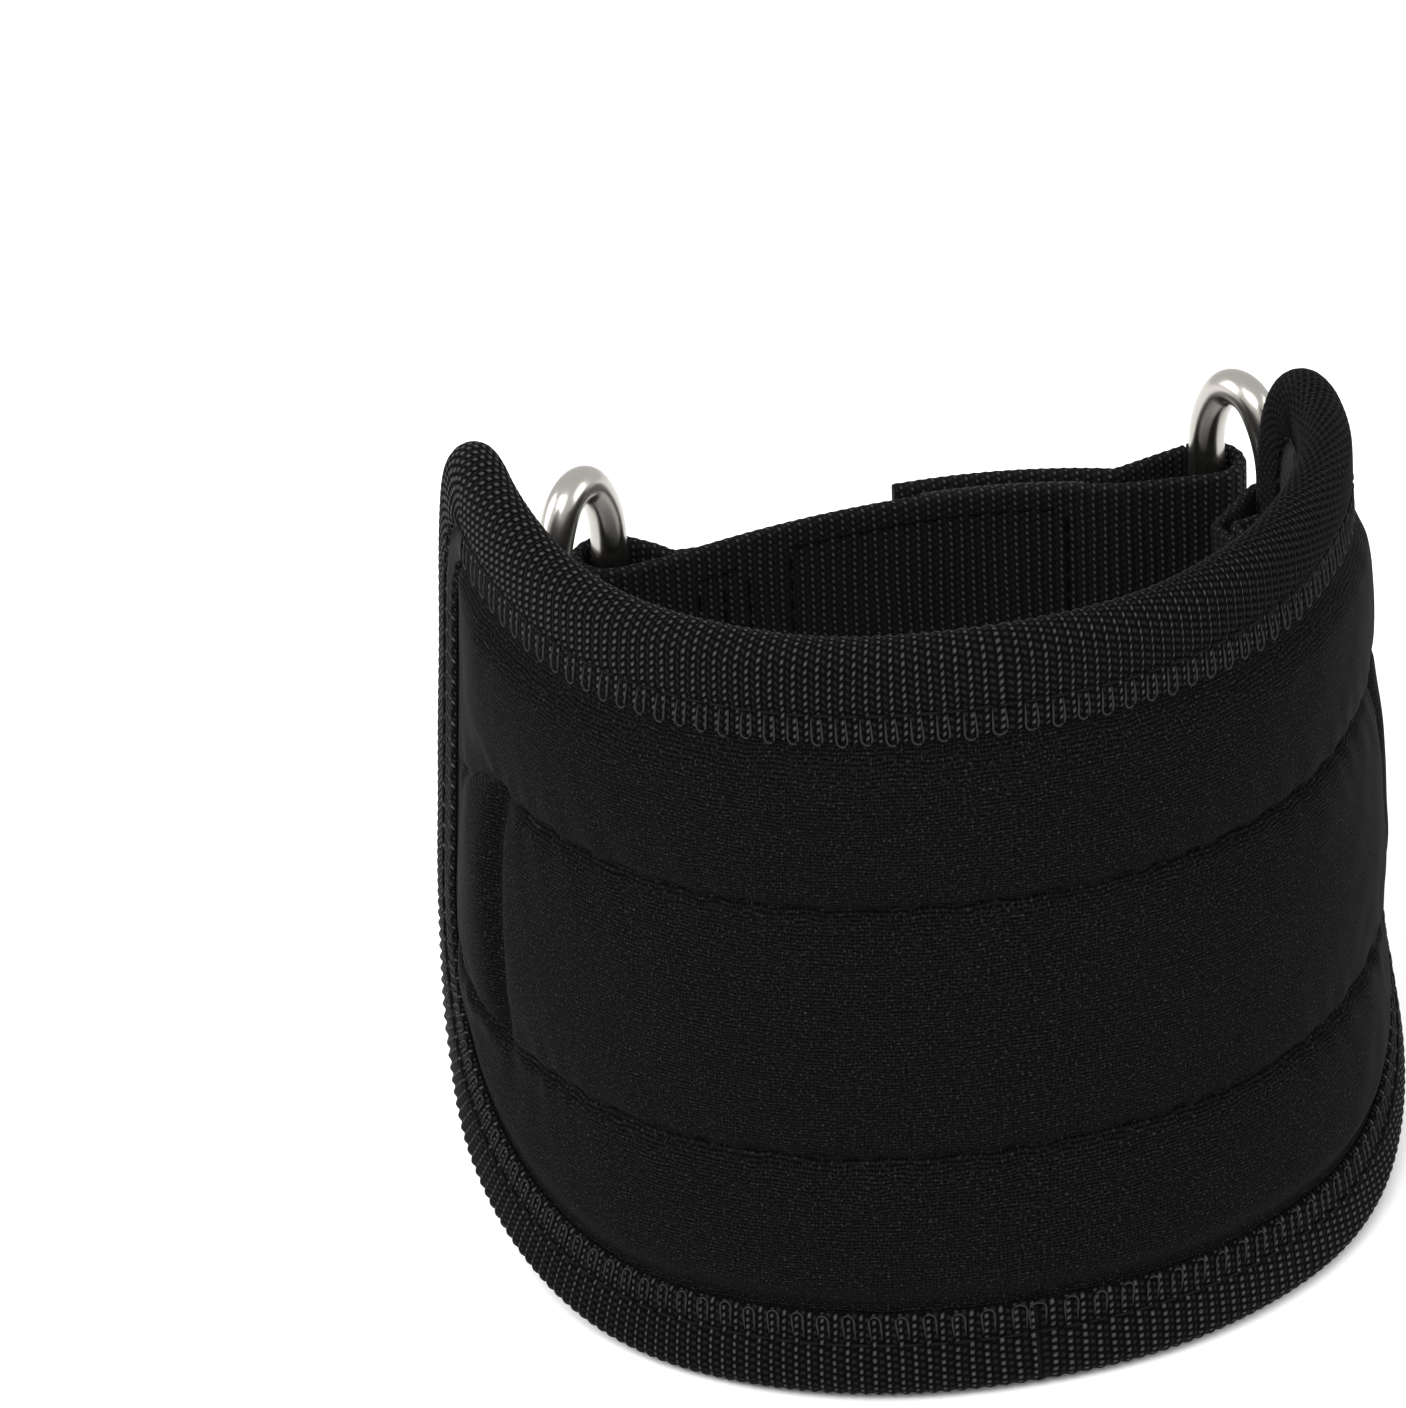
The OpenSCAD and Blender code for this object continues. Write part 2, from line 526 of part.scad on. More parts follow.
// A path moved sideways by k with its corners kept at full thickness
least_miter = 0.55;
function edge_way(p, i) = let (d = p[i + 1] - p[i]) d / norm(d);
function mitred(p, k) = [for (i = [0:len(p) - 1])
    let (a = edge_way(p, max(0, i - 1)), m = a + edge_way(p, min(len(p) - 2, i)), w = m / norm(m))
    p[i] + k * [-w[1], w[0]] / max(least_miter, w * a)];
module tab(side, leg, turns) {
    z0 = strap_z0;
    z1 = strap_z0 + web_w;
    low = tab_path(side, leg, turns, z0);
    high = tab_path(side, leg, turns, z1);
    a = mitred(low, tab_t / 2);
    b = mitred(low, -tab_t / 2);
    c = mitred(high, tab_t / 2);
    d = mitred(high, -tab_t / 2);
    color("#1a1a1d") run_sweep([for (i = [0:len(low) - 1])
        [[a[i][0], a[i][1], z0], [b[i][0], b[i][1], z0], [d[i][0], d[i][1], z1], [c[i][0], c[i][1], z1]]]);
}
module ring_tab_left() tab(-1, left_tab_leg, left_turns);
module ring_tab_right() tab(1, right_tab_leg, right_turns);

// Two rows of thread that hold a tab to the panel; the inner row shows as a crease outside
tab_rows = [28, 14];
module tab_stitching(side) {
    z0 = strap_z0 + 3;
    z1 = strap_z0 + web_w - 3;
    depth = -binding_half - tab_lift - tab_t - tab_layer;
    color("#0e0e10") for (row = tab_rows)
        let (s = side * (half_l - row))
            bar(wall(s, level(s, z0), depth), wall(s, level(s, z1), depth));
}
module tab_stitching_left() tab_stitching(-1);
module tab_stitching_right() tab_stitching(1);

outer_cover();
inner_lining();
foam_pad();
sand_pouch_upper();
sand_pouch_middle();
sand_pouch_lower();
iron_sand_upper();
iron_sand_middle();
iron_sand_lower();
edge_binding();
binding_stitching();
channel_stitching_upper();
channel_stitching_lower();
ring_tab_left();
ring_tab_right();
tab_stitching_left();
tab_stitching_right();
ring_left();
ring_right();
strap();
strap_anchor_stitching();
loop_patch();
loop_patch_stitching();
strap_tail();
hook_patch();
hook_patch_stitching();
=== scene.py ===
import bpy
import math
import numpy as np
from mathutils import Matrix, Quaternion, Vector


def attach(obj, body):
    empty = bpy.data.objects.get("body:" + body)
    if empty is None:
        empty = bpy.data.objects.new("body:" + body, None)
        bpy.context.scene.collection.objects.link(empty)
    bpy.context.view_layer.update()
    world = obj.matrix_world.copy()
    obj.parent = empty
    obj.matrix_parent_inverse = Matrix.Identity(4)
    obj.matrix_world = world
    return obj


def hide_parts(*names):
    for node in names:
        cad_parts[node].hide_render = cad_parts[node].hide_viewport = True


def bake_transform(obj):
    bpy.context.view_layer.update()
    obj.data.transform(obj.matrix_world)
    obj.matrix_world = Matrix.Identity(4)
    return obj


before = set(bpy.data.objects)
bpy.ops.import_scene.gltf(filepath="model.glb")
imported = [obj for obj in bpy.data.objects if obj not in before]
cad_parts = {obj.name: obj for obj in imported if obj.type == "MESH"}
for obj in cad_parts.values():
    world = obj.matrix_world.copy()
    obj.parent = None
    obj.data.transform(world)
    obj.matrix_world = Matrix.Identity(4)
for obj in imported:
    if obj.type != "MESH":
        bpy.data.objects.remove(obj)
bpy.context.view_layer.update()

# ---- Camera

PLAN_Y = 13.2          # how far the part's source moves the cuff back, in millimetres
cam_az, cam_el, cam_roll = (math.radians(v) for v in (-12.5, 32.0, 2.1))
cam_dist = 0.920
target = Vector((0, PLAN_Y / 1000, 0.048))
away = Vector((math.sin(cam_az) * math.cos(cam_el), -math.cos(cam_az) * math.cos(cam_el), math.sin(cam_el)))
cam_data = bpy.data.cameras.new("camera")
camera = bpy.data.objects.new("camera", cam_data)
bpy.context.scene.collection.objects.link(camera)
camera.location = target + away * cam_dist
camera.rotation_euler = ((-away).to_track_quat("-Z", "Y") @ Quaternion((0, 0, 1), -cam_roll)).to_euler()
cam_data.sensor_width = 36
cam_data.lens = 198.9
cam_data.shift_x = -0.1408
cam_data.shift_y = 0.0391
cam_data.clip_end = 10
bpy.context.scene.camera = camera

# ---- The wall, as the part's source has it, in millimetres

CUFF_H, HALF_W, HALF_D = 96.0, 48.0, 51.5
FRONT_FLARE, SIDE_FLARE, SQUARE, WRAP = 7.5, 6.6, 2.2, 103.0
TOP_C, BOT_C = (15.0, 21.0), (58.0, 40.0)
SEAM_OUT, CREST_OUT, CREST_IN = 2.8, 4.5, 6.3
BIND_W, BIND_HALF, BIND_T = 11.5, 3.0, 1.0
ARC_R = 52.0
HALF_L = ARC_R * math.radians(WRAP)
SLOT_HALF = BIND_HALF - BIND_T
SEAMS, SEAM_CLOSE = (32.0, 64.0), (5.0, -6.0)
PAD_EDGE = BIND_W + 1
END_FLAT = 33.0
GAP = 0.05
TAB_CREASE = 28.0      # the crease over a tab's thread, in from the wall's end

# The ends' tops lean from LEAN_FROM along the arc, in full LEAN_RUN further on
LEFT_RISE, RIGHT_DROP, RIGHT_OUT = 3.1, 3.5, 2.0
LEAN_FROM, LEAN_RUN = 45.0, 40.0

# The bound bottom edge stands out by FLARE in front, FLARE_MORE further at the sides, below FLARE_TOP
FLARE, FLARE_MORE, FLARE_REACH, FLARE_TOP = 0.7, 0.6, 14.0, 58.0

# Relief of the cover and the lining: depths, each with the half width, reach or pitch that it needs
PUCKER, PUCKER_REACH, PUCKER_PITCH = 0.17, 3.4, 5.3
SEAM_DIP, SEAM_DIP_HALF = 0.5, 0.9
EDGE_PUCKER, EDGE_REACH = 0.10, 3.0
CREASE, CREASE_HALF = 1.9, 1.7
CREASE_LOW, CREASE_HIGH = 29.0, 66.0           # the heights the crease and its swell run between
SWELL, SWELL_AT, SWELL_HALF = 0.45, 7.0, 4.5   # SWELL_AT is how far it lies from the crease
STAR, STAR_REACH = 0.3, 6.0                    # folds that fan out where the crease meets a sewn line
WRINKLE, FINE_WRINKLE, LINING_WRINKLE = 0.10, 0.035, 0.05

# How thick the cover and the lining are
COVER_T, LINING_T = 0.9, 0.6


def spow(v, e):
    """A power that keeps the sign."""
    return np.sign(v) * np.abs(v) ** e


def edge_flare(s, z):
    """How far the bound bottom edge stands out past the plain wall, dying out at the ends."""
    reach = np.exp(-(np.maximum(inside(s, z), 0) / FLARE_REACH) ** 2) * ease((FLARE_TOP - z) / 30)
    out = FLARE + FLARE_MORE * ease((np.abs(s) - 25) / 25)
    return out * reach * ease((HALF_L - 6 - np.abs(s)) / 16)


def lean_share(s, z):
    """How much of its end's lean a point has: none in front, all of it at the end's top."""
    return ease((np.abs(s) - LEAN_FROM) / LEAN_RUN) * (z / CUFF_H) ** 2


def wall(s, z, n):
    """The point s along the arc, z up and n out of the wall's middle surface."""
    p = plain_wall(s, z, n + edge_flare(s, z))
    share = lean_share(s, z)
    p[..., 2] += np.where(s < 0, LEFT_RISE, -RIGHT_DROP) * share
    p[..., 0] += np.where(s < 0, 0.0, RIGHT_OUT) * share
    return p


def level(s, z):
    """The z to give wall() for a point that is to end up at height z."""
    return z + np.where(s < 0, -LEFT_RISE, RIGHT_DROP) * lean_share(s, z)


def plain_wall(s, z, n):
    """The wall before its edge flares and its ends lean: a squarish round that widens downwards."""
    phi = s / ARC_R
    grow = (SIDE_FLARE + (FRONT_FLARE - SIDE_FLARE) * np.cos(phi) ** 2) * (1 - z / CUFF_H) + n
    return np.stack([(HALF_W + grow) * spow(np.sin(phi), 2 / SQUARE),
                     -(HALF_D + grow) * spow(np.cos(phi), 2 / SQUARE) + PLAN_Y, z + 0 * s], axis=-1)


def corner_cut(s, c):
    """How much height the rounded corner c takes off the outline at s."""
    u = np.clip((np.abs(s) - (HALF_L - c[0])) / c[0], 0, 1)
    return c[1] * (1 - np.sqrt(1 - u * u))


def low_z(s):
    return corner_cut(s, BOT_C)


def high_z(s):
    return CUFF_H - corner_cut(s, TOP_C)


def ease(t):
    c = np.clip(t, 0, 1)
    return c * c * (3 - 2 * c)


def hump(t, p):
    """A round rise from 0 at both ends to 1 in the middle; a smaller p makes it fuller."""
    return np.clip(4 * t * (1 - t), 0, 1) ** p


def in_corner(x, z, c):
    """Distance in from a rounded corner with half axes c, at x and z from its centre."""
    rho = np.maximum(0.01, np.hypot(x / c[0], z / c[1]))
    return (1 - rho) * rho / np.hypot(x / c[0] ** 2, z / c[1] ** 2 + 1e-9)


def inside(s, z):
    """Distance in from the outline, measured on the flat wall."""
    out = np.minimum.reduce([z + 0 * s, CUFF_H - z + 0 * s, HALF_L - np.abs(s) + 0 * z])
    for c, zz in ((BOT_C, BOT_C[1] - z), (TOP_C, z - CUFF_H + TOP_C[1])):
        x = np.abs(s) - HALF_L + c[0]
        out = np.where((x > 0) & (zz > 0), np.minimum(out, in_corner(x, zz, c)), out)
    return out


def seam_z(k, s):
    """Height of sewn line k: the two lines close up past the crease at the left end."""
    return SEAMS[k] + SEAM_CLOSE[k] * ease((-s - (HALF_L - TAB_CREASE)) / 15)


def puff(s, z, flat, p):
    """How full the channels are, 0 to 1, and 0 within flat of the ends."""
    edge = inside(s, z) - PAD_EDGE
    best = np.zeros_like(edge)
    for k in range(3):
        a = edge if k == 0 else z - seam_z(k - 1, s)
        b = edge if k == 2 else seam_z(k, s) - z
        wide = np.maximum(a + b, 4)
        h = np.where((a <= 0) | (b <= 0), 0, hump(a / wide, p) * np.minimum(1, wide / 18))
        best = np.maximum(best, h)
    return ease((HALF_L - flat - np.abs(s)) / 12) * ease(edge / 4) * best


def lift(s, z):
    """0 under the tape, rising to 1 past its selvedge."""
    return ease((inside(s, z) - BIND_W - 0.4) / 3)


def waves(s, z, seed, n, shortest, longest):
    """A soft random surface: n sine waves whose lengths lie between the two."""
    r = np.random.default_rng(seed)
    out = np.zeros_like(s + z)
    for _ in range(n):
        a, length, ph = r.uniform(0, math.pi), r.uniform(shortest, longest), r.uniform(0, 2 * math.pi)
        out = out + np.sin((s * math.cos(a) + z * math.sin(a)) * 2 * math.pi / length + ph)
    return out / math.sqrt(n)


def seam_relief(i, s, z):
    """Puckers that sewn line i pulls into the knit, dying out away from it, and the groove along it."""
    d = z - seam_z(i, s)
    ripple = np.sin(s * 2 * math.pi / PUCKER_PITCH + waves(s, 0 * z, 11 + i, 5, 14, 45) * 1.6 + d * 0.35)
    groove = SEAM_DIP * np.exp(-(d / SEAM_DIP_HALF) ** 2)
    return PUCKER * np.exp(-np.abs(d) / PUCKER_REACH) * ripple - groove


def creased(side, s, z, out, on):
    """The cover with the crease over the row of thread that holds a tab, and the folds round its ends."""
    d = s * side - (HALF_L - TAB_CREASE)
    span = ease((z - CREASE_LOW) / 4) * ease((CREASE_HIGH - z) / 4)
    line = d - 0.5 * np.sin((z - 46) / 6.5)
    out = out - CREASE * span * np.exp(-(line / CREASE_HALF) ** 2) * ease((out - 1.5) / 2)
    out = out + SWELL * span * np.exp(-((d - SWELL_AT) / SWELL_HALF) ** 2) * on
    for zc in SEAMS:
        rr = np.hypot(d, (z - zc))
        star = np.cos(4 * np.arctan2(z - zc, d) + 0.6)
        out = out + STAR * np.exp(-(rr / STAR_REACH) ** 2) * (rr / (rr + 1.5)) * star * on
    return out


def cover_out(s, z):
    """How far the cover's outer face stands out of the wall's middle surface."""
    on = lift(s, z)
    # The lower channel lies flatter at the sides
    low = 1 - 0.7 * ease((np.abs(s) - 40) / 25) * ease((SEAMS[0] + 2 - z) / 6)
    out = SLOT_HALF - GAP + (SEAM_OUT - SLOT_HALF) * on
    out = out + (CREST_OUT - SEAM_OUT) * puff(s, z, PAD_EDGE, 0.5) * low
    for i in range(2):
        out = out + seam_relief(i, s, z) * on
    # Puckers along the binding
    edge = np.maximum(inside(s, z) - BIND_W, 0)
    out = out + EDGE_PUCKER * np.exp(-edge / EDGE_REACH) * on * waves(s, z * 0.2, 31, 6, 5, 12)
    for side in (-1, 1):
        out = creased(side, s, z, out, on)
    return out + on * (WRINKLE * waves(s, z, 5, 8, 16, 50) + FINE_WRINKLE * waves(s, z, 6, 10, 5, 13))


def lining_in(s, z):
    """Where the lining's inner face lies, the same way."""
    h = puff(s, z, END_FLAT, 0.65)
    flat = ease((inside(s, z) - BIND_W) / 4)
    out = -SLOT_HALF + GAP - (CREST_IN - SLOT_HALF) * h
    return out - LINING_WRINKLE * flat * (1 + waves(s, z, 8, 8, 6, 22) * 0.6)


# ---- Materials, from nodes only

def nodes_of(name, base, rough, **extra):
    """A new material with its node tree and its shader."""
    m = bpy.data.materials.new(name)
    m.use_nodes = True
    b = m.node_tree.nodes["Principled BSDF"]
    b.inputs["Base Color"].default_value = (*base, 1)
    b.inputs["Roughness"].default_value = rough
    for k, v in extra.items():
        b.inputs[k.replace("_", " ")].default_value = v
    return m, m.node_tree, b


def math_node(tree, op, a, b=None, c=None):
    """A math node's output, each input a number or another node's output."""
    n = tree.nodes.new("ShaderNodeMath")
    n.operation = op
    for i, v in enumerate((a, b, c)):
        if v is None:
            continue
        if isinstance(v, (int, float)):
            n.inputs[i].default_value = v
        else:
            tree.links.new(v, n.inputs[i])
    return n.outputs[0]


def uv_parts(tree):
    """The UV place and its u and v, in units of UVMM."""
    uv = tree.nodes.new("ShaderNodeUVMap")
    sep = tree.nodes.new("ShaderNodeSeparateXYZ")
    tree.links.new(uv.outputs[0], sep.inputs[0])
    return uv.outputs[0], sep.outputs[0], sep.outputs[1]


def noise(tree, vector, scale, detail=2.0):
    n = tree.nodes.new("ShaderNodeTexNoise")
    n.inputs["Scale"].default_value = scale
    n.inputs["Detail"].default_value = detail
    tree.links.new(vector, n.inputs["Vector"])
    return n.outputs[0]


def tint(tree, bsdf, value, dark, light):
    """Colours the shader from dark at 0 to light at 1."""
    mix = tree.nodes.new("ShaderNodeMix")
    mix.data_type = "RGBA"
    mix.inputs["A"].default_value = (*dark, 1)
    mix.inputs["B"].default_value = (*light, 1)
    tree.links.new(value, mix.inputs["Factor"])
    tree.links.new(mix.outputs["Result"], bsdf.inputs["Base Color"])


def bump(tree, bsdf, height, dist, strength=1.0):
    n = tree.nodes.new("ShaderNodeBump")
    n.inputs["Strength"].default_value = strength
    n.inputs["Distance"].default_value = dist
    tree.links.new(height, n.inputs["Height"])
    tree.links.new(n.outputs[0], bsdf.inputs["Normal"])


TAU = 2 * math.pi
RIB = 1.36       # pitch of the woven ribs, in millimetres
DOT = 0.95       # pitch of the picks along a rib
PICK_HALF, PICK_HALF_LEN = 0.17, 0.34    # half a pick's width and length, as shares of those pitches
WEAVE_DEPTH = 0.00026                    # in metres
UVMM = 100.0     # millimetres to one unit of UV


def from_middle(tree, value):
    """How far a value is from its nearest whole number, -0.5 to 0.5."""
    return math_node(tree, "SUBTRACT", value, math_node(tree, "ROUND", value))


def mound(tree, value, half):
    """1 where the value is 0, falling to 0 at half either way."""
    q = math_node(tree, "MULTIPLY", value, 1 / half)
    rise = math_node(tree, "SUBTRACT", 1.0, math_node(tree, "MULTIPLY", q, q))
    return math_node(tree, "MAXIMUM", rise, 0.0)


def woven(name, dark, light):
    """Ribs across the tape, each a chain of short picks, staggered from rib to rib; the colour paints
    highlight on the raised picks and shade in the gaps round them.
    """
    m, t, b = nodes_of(name, light, 0.62, Sheen_Weight=0.006, Specular_IOR_Level=0.012)
    uv, u, v = uv_parts(t)
    slow = noise(t, uv, 14.0)
    grain = noise(t, uv, 260.0, 3.0)
    ribs = math_node(t, "MULTIPLY", math_node(t, "MULTIPLY_ADD", slow, 0.5 / UVMM, u), UVMM / RIB)
    across = from_middle(t, ribs)
    odd = math_node(t, "MULTIPLY", math_node(t, "MODULO", math_node(t, "ROUND", ribs), 2.0), 0.5)
    lean = math_node(t, "MULTIPLY_ADD", across, 0.7, odd)
    picks = math_node(t, "ADD", math_node(t, "MULTIPLY", v, UVMM / DOT), lean)
    picks = math_node(t, "MULTIPLY_ADD", grain, 0.25, picks)
    dot = math_node(t, "MULTIPLY", mound(t, across, PICK_HALF),
                    mound(t, from_middle(t, picks), PICK_HALF_LEN))
    # Fainter picks lie between the ribs, painted in colour only as fainter highlight
    between = from_middle(t, math_node(t, "ADD", ribs, 0.5))
    faint = math_node(t, "MULTIPLY", mound(t, between, 0.2),
                      mound(t, from_middle(t, math_node(t, "ADD", picks, 0.5)), 0.3))
    # The tint is painted light: lighter on the raised picks, painted shade between them, with random tone
    # from the grain
    shade = math_node(t, "MULTIPLY_ADD", faint, 0.2, dot)
    shade = math_node(t, "MULTIPLY", shade, math_node(t, "MULTIPLY_ADD", grain, 1.3, 0.15))
    tint(t, b, math_node(t, "MINIMUM", shade, 1.0), dark, light)
    body = math_node(t, "MULTIPLY", mound(t, across, 0.5), 0.6)
    bump(t, b, math_node(t, "ADD", body, dot), WEAVE_DEPTH, 0.9)
    return m


def knit(name, dark, light, row, col, depth, rough, sheen):
    """Fine rows of stitches with a speckle of brighter fibres; the colour is darker where the rows are low,
    which is painted shade.
    """
    m, t, b = nodes_of(name, light, rough, Sheen_Weight=sheen, Sheen_Roughness=0.4,
                       Specular_IOR_Level=0.012)
    uv, u, v = uv_parts(t)
    wob = math_node(t, "MULTIPLY", noise(t, uv, 30.0), 0.9 / UVMM)
    cols = math_node(t, "SINE", math_node(t, "MULTIPLY", math_node(t, "ADD", u, wob), TAU * UVMM / col))
    rows = math_node(t, "SINE", math_node(t, "MULTIPLY", math_node(t, "ADD", v, wob), TAU * UVMM / row))
    h = math_node(t, "MULTIPLY_ADD", cols, 0.16, 0.5)
    h = math_node(t, "ADD", h, math_node(t, "MULTIPLY", rows, 0.38))
    grain = noise(t, uv, 300.0, 3.0)
    # The knit's height h darkens the colour in its hollows: painted shade, with random tone from the grain
    both = math_node(t, "MULTIPLY", h, math_node(t, "MULTIPLY_ADD", grain, 0.8, -0.17))
    speck = math_node(t, "MULTIPLY", math_node(t, "POWER", noise(t, uv, 330.0, 1.0), 12.0), 45.0)
    shade = math_node(t, "MINIMUM", math_node(t, "MAXIMUM", math_node(t, "ADD", both, speck), 0.0), 1.0)
    tint(t, b, shade, dark, light)
    bump(t, b, math_node(t, "ADD", h, grain), depth, 0.7)
    return m


def object_place(tree):
    return tree.nodes.new("ShaderNodeTexCoord").outputs["Object"]


def nickel():
    """Polished plated wire, very slightly uneven."""
    m, t, b = nodes_of("polished_nickel", (0.42, 0.40, 0.37), 0.25, Metallic=1.0)
    bump(t, b, noise(t, object_place(t), 700.0), 0.00002, 0.25)
    return m


def loop_pile():
    """Soft tangled loops."""
    m, t, b = nodes_of("loop_pile", (0.009, 0.009, 0.0098), 0.9, Sheen_Weight=0.05, Specular_IOR_Level=0.05)
    bump(t, b, noise(t, uv_parts(t)[0], 160.0, 4.0), 0.0006, 0.9)
    return m


def hook_tape():
    """Rows of small moulded hooks."""
    m, t, b = nodes_of("hook_tape", (0.005, 0.005, 0.0056), 0.42, Specular_IOR_Level=0.3)
    _, u, v = uv_parts(t)
    rows = []
    for way, pitch in ((u, 1.3), (v, 1.1)):
        wave = math_node(t, "SINE", math_node(t, "MULTIPLY", way, math.pi * UVMM / pitch))
        rows.append(math_node(t, "ABSOLUTE", wave))
    bump(t, b, math_node(t, "MULTIPLY", *rows), 0.0005, 0.9)
    return m


def iron_shot():
    """Fine dull grains."""
    m, t, b = nodes_of("iron_shot", (0.11, 0.10, 0.09), 0.5, Metallic=0.6)
    bump(t, b, noise(t, object_place(t), 900.0), 0.0004, 0.8)
    return m


def thread(name, base, gloss):
    return nodes_of(name, base, 0.6, Specular_IOR_Level=gloss)[0]


# The knits' colours are darker in the knit's hollows, which is painted shade
COVER_MAT = knit("cover_knit", dark=(0.0003, 0.0003, 0.0003), light=(0.0215, 0.0211, 0.0215),
                 row=0.42, col=0.36, depth=0.00009, rough=0.7, sheen=0.009)
LINING_MAT = knit("lining_knit", dark=(0.0006, 0.0006, 0.0007), light=(0.0160, 0.0158, 0.0166),
                  row=0.34, col=0.30, depth=0.00004, rough=0.65, sheen=0.008)
# The weaves' colours hold painted highlight on the picks and painted shade between them
TAPE_MAT = woven("binding_weave", dark=(0.0016, 0.0016, 0.0016), light=(0.068, 0.067, 0.0655))
WEB_MAT = woven("strap_weave", dark=(0.0052, 0.0052, 0.0053), light=(0.058, 0.0575, 0.0565))
THREAD_MAT = thread("thread", (0.005, 0.005, 0.0049), 0.03)
LOOP_THREAD_MAT = thread("selvedge_thread", (0.021, 0.0207, 0.0202), 0.03)
WEB_THREAD_MAT = thread("webbing_thread", (0.0024, 0.0024, 0.0025), 0.02)
NICKEL_MAT = nickel()
PILE_MAT = loop_pile()
HOOK_MAT = hook_tape()
FOAM_MAT = nodes_of("neoprene_foam", (0.05, 0.05, 0.052), 0.8)[0]
POUCH_MAT = nodes_of("pouch_cloth", (0.04, 0.04, 0.045), 0.75)[0]
SAND_MAT = iron_shot()


# ---- Mesh helpers

def set_uvs(me, uvs_mm):
    layer = me.uv_layers.new(name="UVMap")
    corners = np.zeros(len(me.loops), dtype=np.int32)
    me.loops.foreach_get("vertex_index", corners)
    layer.data.foreach_set("uv", (np.asarray(uvs_mm)[corners] / UVMM).astype(np.float32).ravel())


def add_object(name, me):
    me.update()
    ob = bpy.data.objects.new(name, me)
    bpy.context.scene.collection.objects.link(ob)
    return ob


def mesh_object(name, verts_mm, faces, uvs_mm, mat):
    """A smooth mesh of four-sided faces, in millimetres."""
    me = bpy.data.meshes.new(name)
    me.from_pydata((np.asarray(verts_mm, dtype=float) * 0.001).tolist(), [], np.asarray(faces).tolist())
    if uvs_mm is not None:
        set_uvs(me, uvs_mm)
    me.polygons.foreach_set("use_smooth", [True] * len(me.polygons))
    me.materials.append(mat)
    me.validate()
    return add_object(name, me)


def grid_faces(nu, nv, wrap_u=False, wrap_v=False, flip=False):
    """The four-sided faces of a grid of nu by nv points, closed round where asked."""
    iu = np.arange(nu if wrap_u else nu - 1)
    iv = np.arange(nv if wrap_v else nv - 1)
    a, b = np.meshgrid(iu, iv, indexing="ij")
    a, b = a.ravel(), b.ravel()
    a1, b1 = (a + 1) % nu, (b + 1) % nv
    f = np.stack([a * nv + b, a1 * nv + b, a1 * nv + b1, a * nv + b1], axis=1)
    return f[:, ::-1] if flip else f


def tubes(name, paths, r, mat):
    """Round threads along lists of points, all in one mesh, each thinner at its two ends."""
    sides, tip = 6, 0.45
    verts, faces, base = [], [], 0
    for p in paths:
        p = np.asarray(p, dtype=float)
        n = len(p)
        t = np.gradient(p, axis=0)
        t /= np.linalg.norm(t, axis=1)[:, None] + 1e-9
        up = np.tile([0.13, 0.07, 0.99], (n, 1))
        flat = np.abs((t * up).sum(1)) > 0.9
        up[flat] = [0.99, 0.1, 0.07]
        a = np.cross(t, up)
        a /= np.linalg.norm(a, axis=1)[:, None] + 1e-9
        b = np.cross(t, a)
        size = np.full(n, r)
        size[[0, -1]] *= tip
        ang = np.arange(sides) * TAU / sides
        ring = p[:, None, :] + size[:, None, None] * (np.cos(ang)[None, :, None] * a[:, None, :]
                                                      + np.sin(ang)[None, :, None] * b[:, None, :])
        verts.append(ring.reshape(-1, 3))
        for i in range(n - 1):
            for j in range(sides):
                j1 = (j + 1) % sides
                faces.append((base + i * sides + j, base + i * sides + j1,
                              base + (i + 1) * sides + j1, base + (i + 1) * sides + j))
        faces.append(tuple(base + j for j in range(sides))[::-1])
        faces.append(tuple(base + (n - 1) * sides + j for j in range(sides)))
        base += n * sides
    me = bpy.data.meshes.new(name)
    me.from_pydata((np.concatenate(verts) * 0.001).tolist(), [], faces)
    me.polygons.foreach_set("use_smooth", [True] * len(me.polygons))
    me.materials.append(mat)
    return add_object(name, me)


def stitches(points, length, space):
    """Cuts a line of points into single stitches of the given length, with the given space after each."""
    p = np.asarray(points, dtype=float)
    d = np.concatenate([[0], np.cumsum(np.linalg.norm(np.diff(p, axis=0), axis=1))])
    out, at = [], 0.0
    while at + length < d[-1]:
        q = np.linspace(at, at + length, 5)
        out.append(np.stack([np.interp(q, d, p[:, k]) for k in range(3)], axis=1))
        at += length + space
    return out


# ---- Padded wall: the knit cover and the lining

SHEET_IN = 2.2         # a sheet stops this far inside the outline, in the tape


def sheet_object(name, nu, nv, face, thick, mat, outward):
    """A closed sheet over the whole wall, with its seen face where the function says."""
    i = np.linspace(-1, 1, nu)
    s = np.sign(i) * (1 - (1 - np.abs(i)) ** 1.25) * (HALF_L - SHEET_IN)
    t = np.linspace(0, 1, nv)
    lo, hi = low_z(s) + SHEET_IN, high_z(s) - SHEET_IN
    S = np.repeat(s[:, None], nv, 1)
    Z = lo[:, None] + (hi - lo)[:, None] * t[None, :]
    n1 = face(S, Z)
    n2 = n1 - thick if outward else n1 + thick
    A, B = wall(S, Z, n1).reshape(-1, 3), wall(S, Z, n2).reshape(-1, 3)
    count = nu * nv
    front = grid_faces(nu, nv, flip=not outward)
    back = grid_faces(nu, nv, flip=outward) + count
    rim = [u * nv for u in range(nu)] + [(nu - 1) * nv + v for v in range(1, nv)]
    rim += [u * nv + nv - 1 for u in range(nu - 2, -1, -1)] + list(range(nv - 2, 0, -1))
    rim = np.array(rim)
    nxt = np.roll(rim, -1)
    side = np.stack([rim, rim + count, nxt + count, nxt], axis=1)
    if not outward:
        side = side[:, ::-1]
    uv = np.stack([S.ravel(), Z.ravel()], axis=1)
    return mesh_object(name, np.concatenate([A, B]), np.concatenate([front, back, side]),
                       np.concatenate([uv, uv]), mat)


